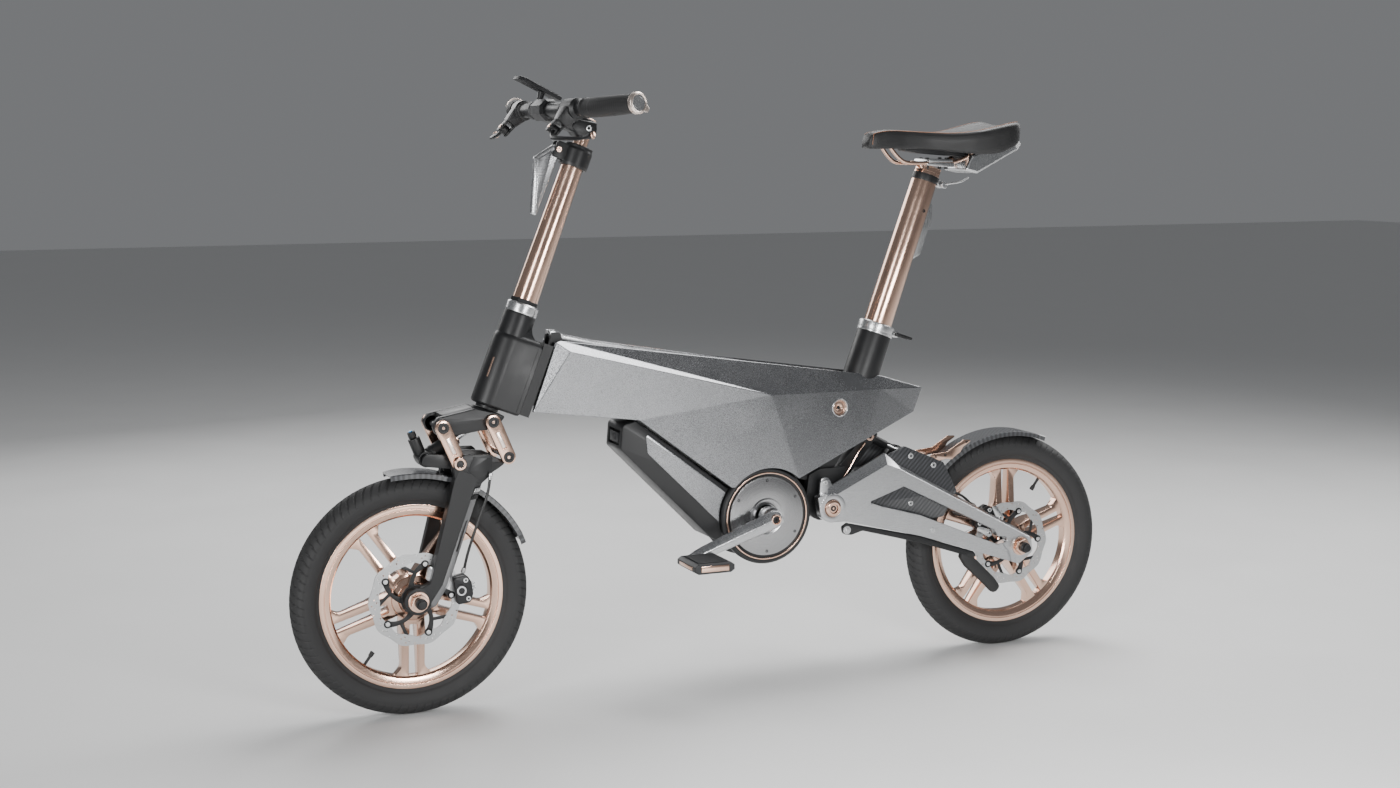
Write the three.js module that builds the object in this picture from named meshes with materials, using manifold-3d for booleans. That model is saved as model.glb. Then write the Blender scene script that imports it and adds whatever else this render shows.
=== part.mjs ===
// A folding bicycle, in millimetres: +X forward, +Y to the rider's left, +Z up.
// The origin is on the ground, midway between the two wheel axles.
import * as THREE from "three";
import { mergeVertices } from "three/addons/utils/BufferGeometryUtils.js";
import Module from "manifold-3d";

const wasm = await Module();
wasm.setup();

// ---------------------------------------------------------------- driving dimensions
const TYRE_RADIUS = 203;
const TYRE_HALF_WIDTH = 25;
const RIM_RADIUS = 157.5;
const RIM_HALF_WIDTH = 15;
const HALF_WHEELBASE = 576.25;
const GAP = 0.4;

const HEAD_LEAN = THREE.MathUtils.degToRad(21.2);
const HEAD_FOOT_X = 637.2;
const SEAT_LEAN = THREE.MathUtils.degToRad(19.9);
const SEAT_FOOT_X = -77.4;

const FRONT_AXLE = [HALF_WHEELBASE, TYRE_RADIUS];
const REAR_AXLE = [-HALF_WHEELBASE, TYRE_RADIUS];
const CRANK_AXLE = [-60, 297];
const CRANK_LENGTH = 165;
const CRANK_ANGLE = THREE.MathUtils.degToRad(-19.5);
const ARM_PIVOT = [-181, 305];
const HINGE_PIN = [366, -58];

// Front suspension: two equal links from the crown to the fork, on each side.
const LINK_VECTOR = [-26, -60.5];
const CROWN_PIVOTS = { front: [527, 489], rear: [441, 494] };
const SHOCK_NOSE = [548, 434];

// Rear shock: from the eye on the fold rocker to the eye on the swing arm.
const ROCKER_EYE = [-284, 420];
const ARM_EYE = [-352, 386];

// Stations across the bicycle, as distances from its middle plane.
const SPINE_HALF = 28;
const SHELL_INNER = 28.6;
const BEAM_HALF = 37;
const LUG_INNER = 19;
const LUG_OUTER = 36;
const LEFT_ARM = [51, 69];
const RIGHT_ARM = [-58.6, -51];
const FORK_PLATE = [24, 36];
const FORK_LEG = [36, 52];
const LINK_PLATE = [37, 46];
const ROTOR = [31.5, 34];
const CHAIN_LINE = [-68, -60.5];
const REAR_BELT_LINE = [-47, -39];
const CRANK_PLANE = [76, 90];

// ---------------------------------------------------------------- materials
const material = (color, roughness, metalness) =>
  new THREE.MeshStandardMaterial({ color, roughness, metalness });
const SHELL_GREY = material(0x6f7276, 0.42, 0.55);
const SATIN_BLACK = material(0x141517, 0.5, 0.35);
const ROSE_GOLD = material(0xc08d72, 0.22, 0.95);
const BRUSHED = material(0xb9bbbd, 0.34, 0.9);
const STEEL = material(0x9a9c9e, 0.3, 0.95);
const RUBBER = material(0x101010, 0.85, 0);
const CARBON = material(0x1d1f21, 0.38, 0.2);
const PLASTIC = material(0x17181a, 0.6, 0);
const FOAM = material(0x0e0e0f, 0.7, 0);

// ---------------------------------------------------------------- solids from three.js shapes
const vec = (x, y, z) => new THREE.Vector3(x, y, z);

function solid(geometry) {
  const flat = geometry.index ? geometry.toNonIndexed() : geometry;
  const bare = new THREE.BufferGeometry();
  bare.setAttribute("position", flat.getAttribute("position"));
  const merged = mergeVertices(bare, 1e-3);
  const kept = [];
  for (let i = 0; i < merged.index.count; i += 3) {
    const [a, b, c] = [0, 1, 2].map((k) => merged.index.getX(i + k));
    if (a !== b && b !== c && c !== a) kept.push(a, b, c);
  }
  return new wasm.Manifold(
    new wasm.Mesh({
      numProp: 3,
      vertProperties: merged.attributes.position.array,
      triVerts: new Uint32Array(kept),
    }),
  );
}

const join = (...pieces) => pieces.reduce((whole, piece) => whole.add(piece));
const cut = (whole, ...pieces) => pieces.reduce((rest, piece) => rest.subtract(piece), whole);

const parts = new THREE.Group();

// Edges shorter than this are left by cuts that nearly touch, and are closed up.
const SLIVER = 0.02;

function node(name, finish, whole) {
  const mesh = whole.simplify(SLIVER).getMesh();
  const geometry = new THREE.BufferGeometry();
  geometry.setAttribute("position", new THREE.BufferAttribute(mesh.vertProperties, 3));
  geometry.setIndex(new THREE.BufferAttribute(mesh.triVerts, 1));
  geometry.computeVertexNormals();
  const piece = new THREE.Mesh(geometry, finish);
  piece.name = name;
  parts.add(piece);
}

// An outline in the XZ plane from [x, z, corner radius] points.
function outline(points) {
  const shape = new THREE.Shape();
  points.forEach(([x, z, radius = 0], i) => {
    const corner = new THREE.Vector2(x, z);
    const before = new THREE.Vector2(...points.at(i - 1));
    const after = new THREE.Vector2(...points[(i + 1) % points.length]);
    const reach = Math.min(radius, 0.45 * corner.distanceTo(before), 0.45 * corner.distanceTo(after));
    const start = before.sub(corner).setLength(reach).add(corner);
    const end = after.sub(corner).setLength(reach).add(corner);
    if (i) shape.lineTo(start.x, start.y);
    else shape.moveTo(start.x, start.y);
    if (radius) shape.quadraticCurveTo(x, z, end.x, end.y);
  });
  shape.closePath();
  return shape;
}

// The outline round two discs, such as a link or a belt's run.
function barOutline([ax, az], ra, [bx, bz], rb) {
  const along = Math.atan2(bz - az, bx - ax);
  const spread = Math.acos((ra - rb) / Math.hypot(bx - ax, bz - az));
  const shape = new THREE.Shape();
  shape.absarc(ax, az, ra, along + spread, along - spread + 2 * Math.PI, false);
  shape.absarc(bx, bz, rb, along - spread, along + spread, false);
  return shape;
}

// A shape in the XZ plane, given a thickness from one Y to another.
function slab(shape, [low, high], segments = 2) {
  const geometry = new THREE.ExtrudeGeometry(shape, {
    depth: high - low,
    bevelEnabled: false,
    curveSegments: segments,
  });
  return solid(geometry.rotateX(Math.PI / 2).translate(0, high, 0));
}

const plate = (points, span) => slab(outline(points), span);
const bar = (a, ra, b, rb, span, segments = 3) => slab(barOutline(a, ra, b, rb), span, segments);
const mirrored = ([low, high]) => [-high, -low];
const bothSides = (make, span) => [make(span), make(mirrored(span))];

// A round rod, or a cone, between two points.
function rod(from, to, radius, sides = 10, endRadius = radius) {
  const axis = to.clone().sub(from);
  const geometry = new THREE.CylinderGeometry(endRadius, radius, axis.length(), sides);
  const turn = new THREE.Quaternion().setFromUnitVectors(vec(0, 1, 0), axis.clone().normalize());
  const middle = from.clone().add(to).multiplyScalar(0.5);
  geometry.applyQuaternion(turn).translate(...middle.toArray());
  return solid(geometry);
}

// A disc or shaft that lies across the bicycle, centred on an XZ point.
const disc = ([x, z], radius, [low, high], sides = 12) =>
  rod(vec(x, low, z), vec(x, high, z), radius, sides);

// A round tube along a smooth route.
function tube(points, radius, steps = 16, sides = 8) {
  const section = new THREE.Shape();
  section.absarc(0, 0, radius, 0, 2 * Math.PI, false);
  const path = new THREE.CatmullRomCurve3(points);
  const geometry = new THREE.ExtrudeGeometry(section, {
    steps,
    curveSegments: Math.round(sides / 2),
    extrudePath: path,
  });
  return solid(geometry);
}

// A ring or a wheel: a closed profile of [radius, y] points turned about an axle across the bicycle.
function turned(profile, [x, z], segments = 32) {
  const points = profile.map(([radius, y]) => new THREE.Vector2(radius, y));
  points.push(points[0].clone());
  const geometry = new THREE.LatheGeometry(points, segments).translate(x, 0, z);
  const made = solid(geometry);
  return made.volume() > 0 ? made : solid(flipped(geometry));
}

function flipped(geometry) {
  const turnedOut = geometry.index ? geometry.toNonIndexed() : geometry.clone();
  const position = turnedOut.getAttribute("position");
  for (let i = 0; i < position.count; i += 3) {
    const [a, b] = [i, i + 1].map((k) => vec(0, 0, 0).fromBufferAttribute(position, k));
    position.setXYZ(i, b.x, b.y, b.z);
    position.setXYZ(i + 1, a.x, a.y, a.z);
  }
  return turnedOut;
}

// Points in a leaning tube's own frame: n forward, y across, s up along the axis from the ground.
const leaning = (footX, lean) => (n, y, s) =>
  vec(footX + n * Math.cos(lean) - s * Math.sin(lean), y, n * Math.sin(lean) + s * Math.cos(lean));
const onHead = leaning(HEAD_FOOT_X, HEAD_LEAN);
const onSeat = leaning(SEAT_FOOT_X, SEAT_LEAN);
const flatOf = (point) => [point.x, point.z];

function box([x0, y0, z0], [x1, y1, z1]) {
  return plate([[x0, z0], [x1, z0], [x1, z1], [x0, z1]], [y0, y1]);
}

// A block in a leaning tube's frame.
function leaningBlock(place, [n0, n1], span, [s0, s1]) {
  const corners = [place(n0, 0, s0), place(n1, 0, s0), place(n1, 0, s1), place(n0, 0, s1)];
  return plate(corners.map(flatOf), span);
}

const headRod = (s0, s1, radius, sides = 16, endRadius = radius) =>
  rod(onHead(0, 0, s0), onHead(0, 0, s1), radius, sides, endRadius);
const seatRod = (s0, s1, radius, sides = 16, endRadius = radius) =>
  rod(onSeat(0, 0, s0), onSeat(0, 0, s1), radius, sides, endRadius);

// ---------------------------------------------------------------- main frame
const HOUSING_CORE = 76;
const HOUSING_FLANGE = 86.5;
const SEAM = -47;
const RIM_DEPTH = 17;
const HEAD_BOTTOM = 553;
const SEAM_TOP = 684;
const PIN_RADIUS = 4;
const KNUCKLE_RADIUS = 10;
const KNUCKLES = { bottom: 520, low: 548, high: 596, top: 624 };

const housingRoom = disc(CRANK_AXLE, HOUSING_CORE + 1.2, [-90, 90], 32);
const flangeRoom = disc(CRANK_AXLE, HOUSING_FLANGE + 1.2, [-90, 90], 32);

const knuckle = (low, high, radius) =>
  rod(vec(HINGE_PIN[0], HINGE_PIN[1], low), vec(HINGE_PIN[0], HINGE_PIN[1], high), radius, 12);

function frameSpine() {
  const behindRim = leaningBlock(onHead, [-200, SEAM - RIM_DEPTH], [-90, 0], [440, 760]);
  const body = plate(
    [[338, 611], [-232, 524], [-268, 500, 12], [-262, 456, 12], [-190, 352], [-150, 352],
      [20, 384], [172, 494], [380, 517]],
    [-SPINE_HALF, SPINE_HALF],
  );
  const rim = leaningBlock(onHead, [SEAM - RIM_DEPTH, SEAM], [-34, 34], [HEAD_BOTTOM + 4, SEAM_TOP]);
  const boss = seatRod(470, 562, 32.5);
  const lugs = bothSides(
    (span) => plate(
      [[-150, 362], [-172, 372], [-222, 372], [-209, 318, 12], [-198, 282, 12], [-168, 276, 12],
        [-140, 300]],
      span,
    ),
    [LUG_INNER, LUG_OUTER],
  );
  const leaves = [
    [KNUCKLES.bottom, KNUCKLES.low - GAP],
    [KNUCKLES.high + GAP, KNUCKLES.top],
  ].flatMap(([low, high]) => [
    knuckle(low, high, KNUCKLE_RADIUS),
    cut(box([346, HINGE_PIN[1] + 1, low], [363, -30, high]), behindRim),
  ]);
  const batteryWindow = plate(
    [[250, 578], [-150, 518], [-150, 400], [12, 404], [152, 512], [262, 530]],
    [-40, 40],
  );
  return cut(
    join(body, rim, boss, ...lugs, ...leaves, latchMount()),
    housingRoom,
    batteryWindow,
    seatRod(460, 600, 28, 20),
    disc(ARM_PIVOT, 8.4, [-40, 40]),
    knuckle(500, 660, PIN_RADIUS + GAP),
    headSweep(),
  );
}

// The room that the head's parts need beside the frame's front rim.
function headSweep() {
  return leaningBlock(onHead, [SEAM, SEAM + 40], [-50, 60], [500, 720]);
}

// One half shell. The ridge, the belly and the tail are the corners of its flat facets.
const SHELL = {
  topFront: [316, 24, 623],
  topRear: [-297, 24, 534],
  tailTop: [-383, 24, 508],
  tailBottom: [-366, 24, 464],
  rearLow: [-257, 48, 421],
  housingRear: [-119, 59, 362],
  housingFront: [12, 59, 354],
  belly: [181, 47, 482],
  frontLow: [368, 35, 505],
  frontTop: [326, 35, 621],
  crease: [306, 49, 606],
  widest: [-62, 62, 515],
  rearRidge: [-290, 43, 512],
};
const SHELL_RIM = ["topFront", "topRear", "tailTop", "tailBottom", "rearLow", "housingRear",
  "housingFront", "belly", "frontLow", "frontTop"];
const SHELL_FACETS = [
  ["topFront", "frontTop", "crease"],
  ["topFront", "crease", "widest"],
  ["topFront", "widest", "topRear"],
  ["topRear", "widest", "rearRidge"],
  ["topRear", "rearRidge", "tailTop"],
  ["tailTop", "rearRidge", "tailBottom"],
  ["tailBottom", "rearRidge", "rearLow"],
  ["rearLow", "rearRidge", "widest"],
  ["rearLow", "widest", "housingRear"],
  ["housingRear", "widest", "housingFront"],
  ["housingFront", "widest", "belly"],
  ["belly", "widest", "crease"],
  ["belly", "crease", "frontLow"],
  ["frontLow", "crease", "frontTop"],
];
const SHELL_WALL = 4;
const TOP_CORNERS = ["topFront", "topRear", "tailTop", "frontTop", "crease", "rearRidge"];

function shellCorner(name, inset) {
  const [x, y, z] = SHELL[name];
  if (!inset) return [x, y, z];
  const rise = TOP_CORNERS.includes(name) ? -1.6 * inset : 1.5 * inset;
  return [x * (1 - 0.008 * inset), y - inset, name === "widest" ? z : z + rise];
}

function facetedHalf(inset, inner) {
  const corners = Object.fromEntries(
    Object.keys(SHELL).map((name) => [name, shellCorner(name, inset)]),
  );
  const triangles = SHELL_FACETS.map((facet) => facet.map((name) => corners[name]));
  const flat = ([x, , z]) => [x, inner, z];
  const rim = SHELL_RIM.map((name) => corners[name]);
  rim.forEach((here, i) => {
    const next = rim[(i + 1) % rim.length];
    triangles.push([here, next, flat(next)], [here, flat(next), flat(here)]);
  });
  const loop = rim.map(([x, , z]) => new THREE.Vector2(x, z));
  THREE.ShapeUtils.triangulateShape(loop, []).forEach((triangle) => {
    triangles.push(triangle.map((i) => flat(rim[i])));
  });
  return triangles;
}

function meshed(triangles) {
  const geometry = new THREE.BufferGeometry();
  geometry.setAttribute("position", new THREE.Float32BufferAttribute(triangles.flat(2), 3));
  return geometry;
}

// The rim loop, the cap and the facets may be wound either way round, so both ways are tried.
function polyhedron(triangles) {
  const cleaned = alike(triangles);
  const made = solid(meshed(cleaned));
  return made.volume() > 0 ? made : solid(flipped(meshed(cleaned)));
}

// Turns each triangle to agree with its neighbours across shared edges.
function alike(triangles) {
  const key = (point) => point.map((value) => value.toFixed(2)).join(",");
  const done = [triangles[0]];
  const left = triangles.slice(1);
  const edges = new Set();
  const claim = (t) => t.forEach((p, i) => edges.add(key(p) + "|" + key(t[(i + 1) % 3])));
  claim(triangles[0]);
  while (left.length) {
    const at = left.findIndex((t) => t.some((p, i) => {
      const q = t[(i + 1) % 3];
      return edges.has(key(p) + "|" + key(q)) || edges.has(key(q) + "|" + key(p));
    }));
    const [t] = left.splice(at, 1);
    const same = t.some((p, i) => edges.has(key(p) + "|" + key(t[(i + 1) % 3])));
    const kept = same ? [t[0], t[2], t[1]] : t;
    done.push(kept);
    claim(kept);
  }
  return done;
}

const mirrorTriangles = (triangles, side) =>
  triangles.map((t) => t.map(([x, y, z]) => [x, side * y, z]));

function shell(side) {
  const outer = polyhedron(mirrorTriangles(facetedHalf(0, SHELL_INNER), side));
  const hollow = polyhedron(mirrorTriangles(facetedHalf(SHELL_WALL, SHELL_INNER - 12), side));
  const middle = box([-420, -SHELL_INNER, 300], [420, SHELL_INNER, 700]);
  const rimRoom = leaningBlock(onHead, [SEAM - RIM_DEPTH - GAP, 60], [-80, 80], [480, 760]);
  return cut(outer, hollow, middle, flangeRoom, seatRod(440, 700, 33.2), rimRoom);
}

function crankHousing() {
  const profile = [
    [24, -50], [HOUSING_FLANGE, -50], [HOUSING_FLANGE, -38], [HOUSING_CORE, -36],
    [HOUSING_CORE, 36], [HOUSING_FLANGE, 38], [HOUSING_FLANGE, 50], [74, 50], [74, 46], [24, 46],
  ];
  const bearingSeats = bothSides((span) => disc(CRANK_AXLE, 26.8, span, 20), [34, 51]);
  return cut(turned(profile, CRANK_AXLE, 28), ...bearingSeats);
}

const crankBearing = (span) =>
  cut(disc(CRANK_AXLE, 26, span, 20), disc(CRANK_AXLE, 11.8, [-60, 60]));

function leftCover() {
  const coverDisc = disc(CRANK_AXLE, 72, [46.4, 49.8], 28);
  const crankHole = disc(CRANK_AXLE, 27, [40, 60], 20);
  return cut(coverDisc, crankHole);
}

function lowerBeam() {
  const body = plate(
    [[181, 478], [208, 474, 6], [211, 431, 6], [44, 264, 8], [-20, 232], [-30, 330], [13, 350]],
    [-BEAM_HALF, BEAM_HALF],
  );
  const recess = plate([[198, 470], [214, 466], [216, 436], [202, 432]], [-26, 26]);
  const panels = bothSides(
    (span) => plate([[168, 460], [162, 421], [27, 288], [10, 290], [12, 338]], span),
    [BEAM_HALF - 0.1, BEAM_HALF + 2],
  );
  return cut(join(body, ...panels), flangeRoom, recess, spineRoom());
}

// The beam stays just below the spine and the shells.
function spineRoom() {
  return plate([[12.6, 353], [182, 480.6], [400, 540], [0, 560]], [-70, 70]);
}

const BATTERY_POINTS = [[247, 575], [-147, 516], [-147, 403], [10, 407], [151, 515], [256, 531]];

const PIVOT_AXLE_RADIUS = 8;
function pivotAxle() {
  const shaft = disc(ARM_PIVOT, PIVOT_AXLE_RADIUS, [-70, 70]);
  const leftHead = disc(ARM_PIVOT, 15, [69.5, 74.5]);
  const rightNut = disc(ARM_PIVOT, 12, [-74.5, -69.2], 6);
  const socket = disc(ARM_PIVOT, 5, [71.5, 80], 6);
  return cut(join(shaft, leftHead, rightNut), socket);
}

function seatTube() {
  const lower = seatRod(562.5, 650, 32.5, 20, 31);
  const collar = seatRod(649, 666, 33.2, 20);
  const ear = leaningBlock(onSeat, [-46, -29], [-7.2, 7.2], [652.3, 664.6]);
  return cut(join(lower, collar, ear), seatRod(540, 700, 28, 20));
}

const BELT_THICKNESS = 3;
function belt([a, ra], [b, rb], span) {
  const outside = bar(a, ra + BELT_THICKNESS + GAP, b, rb + BELT_THICKNESS + GAP, span, 8);
  const inside = bar(a, ra + GAP, b, rb + GAP, [span[0] - 1, span[1] + 1], 8);
  return cut(outside, inside);
}
const CHAINRING_RADIUS = 58;
const JACK_RADIUS = 22;
const SPROCKET_RADIUS = 24;

// ---------------------------------------------------------------- top latch
const LATCH_PIVOT = [320, 629];
function latchLever() {
  const lever = plate(
    [[344, 643], [322, 641, 4], [300, 631], [250, 619], [60, 587], [-36, 570, 5], [-34, 566],
      [60, 581], [262, 609], [310, 621], [330, 634], [344, 637]],
    [-9, 9],
  );
  const hinge = disc(LATCH_PIVOT, 6.5, [-9, 9]);
  return cut(join(lever, hinge), disc(LATCH_PIVOT, 3.5, [-20, 20], 12));
}

function latchMount() {
  const ears = bothSides(
    (span) => plate([[334, 606], [328, 636, 4], [312, 636, 4], [304, 602]], span),
    [9.6, 16],
  );
  return join(...ears, disc(LATCH_PIVOT, 3, [-16, 16], 12));
}

// ---------------------------------------------------------------- head and steering
function headCasting() {
  const barrel = headRod(HEAD_BOTTOM, 668, 31, 20);
  const shoulder = headRod(668, 680, 31, 20, 27.5);
  const neck = headRod(680, 717, 27.5, 20);
  const block = leaningBlock(onHead, [SEAM + GAP, -2], [-34, 34], [HEAD_BOTTOM + 4, SEAM_TOP - 2]);
  const leaf = box([352, HINGE_PIN[1] + 1, KNUCKLES.low], [386, -26, KNUCKLES.high]);
  const leafBarrel = knuckle(KNUCKLES.low, KNUCKLES.high, KNUCKLE_RADIUS);
  const behindSeam = leaningBlock(onHead, [-120, SEAM + GAP], [-45, 60], [480, 760]);
  const joined = join(cut(leaf, behindSeam), leafBarrel);
  return cut(
    join(barrel, shoulder, neck, block, joined),
    headRod(540, 730, 20.9, 16),
    knuckle(500, 660, PIN_RADIUS + GAP),
  );
}

function hingePin() {
  const shaft = knuckle(514, 628, PIN_RADIUS);
  const head = knuckle(KNUCKLES.top + GAP, 629, 7);
  return join(shaft, head);
}

const COLUMN_TOP = 1004;
const STEM_BORE = 13;
function steeringColumn() {
  const lower = headRod(548, 719, 20, 16);
  const collar = headRod(718, 734, 27, 20);
  const facet = headRod(734, 742, 24, 8);
  const upper = headRod(740, COLUMN_TOP, 22, 16, 18.5);
  return cut(join(lower, collar, facet, upper), headRod(800, 1100, STEM_BORE, 16));
}

const LEVER_EYE = flatOf(onHead(36, 0, 998));
function columnClamp() {
  const ring = headRod(979, 1018, 25, 20);
  const ears = bothSides((span) => leaningBlock(onHead, [19, 42], span, [984, 1012]), [6.6, 13]);
  const pin = disc(LEVER_EYE, 3, [-13, 13], 12);
  return cut(
    join(ring, ...ears, pin),
    headRod(970, COLUMN_TOP + GAP, 20, 16),
    headRod(970, 1030, STEM_BORE, 16),
    leaningBlock(onHead, [14, 30], [-1.2, 1.2], [970, 1030]),
  );
}

// The lever is a thin fin that hangs down the front of the column.
function clampLever() {
  const eye = disc(LEVER_EYE, 7, [-6, 6]);
  const fin = plate([[304, 944], [316, 950, 4], [350, 930, 4], [357, 837, 4], [344, 834, 4]], [-4, 4]);
  return cut(join(eye, fin), disc(LEVER_EYE, 3.5, [-20, 20], 12));
}

function crown() {
  const body = plate(
    [[417, 501], [468, 519], [535, 505, 8], [549, 489, 10], [538, 473, 8], [500, 472], [455, 478],
      [430, 478, 8], [424, 490]],
    [-LUG_OUTER, LUG_OUTER],
  );
  const shockRoom = box([380, -14.5, 440], [514, 14.5, 490]);
  const eyeRoom = disc(CROWN_PIVOTS.rear, 13, [-12, 12]);
  const bores = Object.values(CROWN_PIVOTS).map((at) => disc(at, 6.6, [-60, 60]));
  const stub = headRod(538, 546, 16);
  const shaftRoom = box([441, -8, 480], [472, 8, 500]);
  return cut(join(body, stub), shockRoom, shaftRoom, eyeRoom, ...bores);
}

// ---------------------------------------------------------------- stem and handlebar
const BAR_CENTRE = onHead(78, 0, 1051);
const BAR_RADIUS = 12;
const GRIP_START = 172;
const GRIP_END = 300;
const BAR_END = [284, 300, 1016];

function barPoint(y) {
  const straight = 96;
  const sweep = Math.max(0, (Math.abs(y) - straight) / (BAR_END[1] - straight));
  const eased = sweep * (0.35 + 0.65 * sweep);
  return vec(
    BAR_CENTRE.x + (BAR_END[0] - BAR_CENTRE.x) * eased,
    y,
    BAR_CENTRE.z + (BAR_END[2] - BAR_CENTRE.z) * eased,
  );
}

const barRun = (from, to, count) =>
  Array.from({ length: count + 1 }, (_, i) => barPoint(from + ((to - from) * i) / count));

function stemTube() {
  const inner = headRod(850, 1062, STEM_BORE - 0.5, 16);
  const extension = slab(
    barOutline(flatOf(onHead(0, 0, 1049)), 15, flatOf(BAR_CENTRE), 17),
    [-20, 20],
    5,
  );
  return cut(join(inner, extension), tube(barRun(-60, 60, 4), BAR_RADIUS + 1, 3, 8));
}

// Each brake lever turns in a forked perch, about an axis square to its pull.
const LEVER_PIVOT = vec(360, 130, 976);
const LEVER_AXIS = vec(0.764, 0, 0.646);

function leverBarrel(side, halfLength, radius) {
  const centre = vec(LEVER_PIVOT.x, side * LEVER_PIVOT.y, LEVER_PIVOT.z);
  return rod(
    centre.clone().addScaledVector(LEVER_AXIS, -halfLength),
    centre.clone().addScaledVector(LEVER_AXIS, halfLength),
    radius,
  );
}

function perch(side) {
  const clamp = rod(barPoint(side * 118), barPoint(side * 142), 17);
  const across = [-10, 10].map((share) => LEVER_AXIS.clone().multiplyScalar(share));
  const arm = plate(
    [...across.map((offset) => flatOf(barPoint(130).add(offset))),
      ...across.reverse().map((offset) => flatOf(LEVER_PIVOT.clone().add(offset)))],
    side > 0 ? [122, 138] : [-138, -122],
  );
  const fork = join(arm, leverBarrel(side, 10, 9));
  return join(clamp, cut(fork, leverBarrel(side, 4.6, 14)), leverBarrel(side, 8, 2.6));
}

function handlebar() {
  const run = tube(barRun(-296, 296, 12), BAR_RADIUS, 12, 8);
  const displayArm = rod(vec(326, -52, 1012), vec(318, -52, 1034), 7, 12);
  const displayRing = rod(barPoint(-44), barPoint(-60), 16, 16);
  return join(run, perch(1), perch(-1), displayArm, displayRing);
}

function brakeLever(side) {
  const route = [[360, 130, 976], [368, 146, 966.5], [371, 162, 963], [366, 186, 962],
    [350, 224, 962], [340, 246, 966]];
  const blade = tube(route.map(([x, y, z]) => vec(x, side * y, z)), 4, 10, 6);
  const end = rod(vec(342, side * 243, 965), vec(338, side * 252, 967), 6.5);
  const eye = leverBarrel(side, 4, 7);
  return cut(join(eye, blade, end), leverBarrel(side, 12, 3.2));
}

function grip(side) {
  const route = barRun(side * GRIP_START, side * GRIP_END, 8);
  const inner = tube(barRun(side * (GRIP_START - 10), side * (GRIP_END + 12), 8), BAR_RADIUS + 1, 4, 8);
  const body = tube(route, 16, 4, 10);
  const outward = barPoint(side * GRIP_END).sub(barPoint(side * (GRIP_END - 12))).setLength(9);
  const endCap = rod(
    barPoint(side * GRIP_END).addScaledVector(outward, -0.6),
    barPoint(side * GRIP_END).add(outward),
    17.5,
    16,
  );
  const barRoom = cut(inner, rod(
    barPoint(side * GRIP_END).addScaledVector(outward, -0.2),
    barPoint(side * GRIP_END).addScaledVector(outward, 4),
    30,
  ));
  return cut(join(body, endCap), barRoom);
}

function display() {
  const body = plate([[286, 1030], [289, 1024], [352, 1055], [364, 1060], [360, 1066], [348, 1062]],
    [-68, -36]);
  return cut(body, rod(vec(326, -52, 1012), vec(318, -52, 1034.6), 7.6, 12));
}

// ---------------------------------------------------------------- front suspension and fork
const shifted = ([x, z], [dx, dz]) => [x + dx, z + dz];
const FORK_PIVOTS = {
  front: shifted(CROWN_PIVOTS.front, LINK_VECTOR),
  rear: shifted(CROWN_PIVOTS.rear, LINK_VECTOR),
};
const PIN = 6;

function link(which) {
  const top = CROWN_PIVOTS[which];
  const bottom = FORK_PIVOTS[which];
  const plates = bothSides((span) => bar(top, 12, bottom, 12, span), LINK_PLATE);
  const pins = [top, bottom].map((at) => disc(at, PIN, [-45, 45]));
  return join(...plates, ...pins);
}

function fork() {
  const { front, rear } = FORK_PIVOTS;
  const plates = bothSides(
    (span) => join(
      bar(front, 13, rear, 12, span),
      plate([[415, 424], [501, 440], [514, 420], [504, 402], [462, 398]], span),
      bar(front, 12, SHOCK_NOSE, 11, span),
    ),
    FORK_PLATE,
  );
  const legs = bothSides(
    (span) => join(
      plate([[456, 404, 8], [503, 420, 8], [512, 402, 8], [556, 232, 10], [592, 203], [545, 190, 6],
        [523, 222, 10], [463, 390, 8]], span),
      disc(FRONT_AXLE, 23, span),
    ),
    FORK_LEG,
  );
  const bridge = box([458, -30, 413], [492, 30, 430]);
  const noseBar = disc(SHOCK_NOSE, 8, [-26, 26]);
  const caliperArm = plate([[556, 262], [560, 236], [523, 214], [521, 240]], [40, 45]);
  return cut(
    join(...plates, ...legs, bridge, noseBar, caliperArm),
    disc(front, PIN + 0.6, [-60, 60]),
    disc(rear, PIN + 1, [-60, 60]),
    disc(FRONT_AXLE, 7.6, [-60, 60]),
    ...bothSides((span) => disc(front, 13.2, span), [FORK_PLATE[1], 70]),
    ...bothSides((span) => disc(rear, 13.2, span), [FORK_PLATE[1], 70]),
    ...bothSides((span) => plate([[380, 428], [380, 500], [560, 500], [530, 416], [507, 402],
      [490, 412], [440, 412]], span), [FORK_PLATE[1] + 0.1, 70]),
  );
}

const along = ([ax, az], [bx, bz], share) => [ax + (bx - ax) * share, az + (bz - az) * share];
const flatRod = (a, b, radius, sides) => rod(vec(a[0], 0, a[1]), vec(b[0], 0, b[1]), radius, sides);

function frontShockBody() {
  const eye = disc(SHOCK_NOSE, 14, [-14, 14]);
  const barrel = flatRod(
    along(SHOCK_NOSE, CROWN_PIVOTS.rear, 0.06), along(SHOCK_NOSE, CROWN_PIVOTS.rear, 0.5), 13, 16,
  );
  const reservoir = flatRod([555, 440], [566, 470], 10, 12);
  const dial = flatRod([567, 469], [572, 482], 6, 10);
  const shaftRoom = flatRod(
    along(SHOCK_NOSE, CROWN_PIVOTS.rear, 0.2), along(SHOCK_NOSE, CROWN_PIVOTS.rear, 0.6), 6.8, 12,
  );
  return cut(join(eye, barrel, reservoir, dial), shaftRoom, disc(SHOCK_NOSE, 8.5, [-40, 40]));
}

function frontShockShaft() {
  const shaft = flatRod(
    along(SHOCK_NOSE, CROWN_PIVOTS.rear, 0.42), along(SHOCK_NOSE, CROWN_PIVOTS.rear, 0.93), 6, 12,
  );
  const eye = disc(CROWN_PIVOTS.rear, 11.5, [-9, 9]);
  return cut(join(shaft, eye), disc(CROWN_PIVOTS.rear, PIN + 1.8, [-20, 20]));
}

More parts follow.
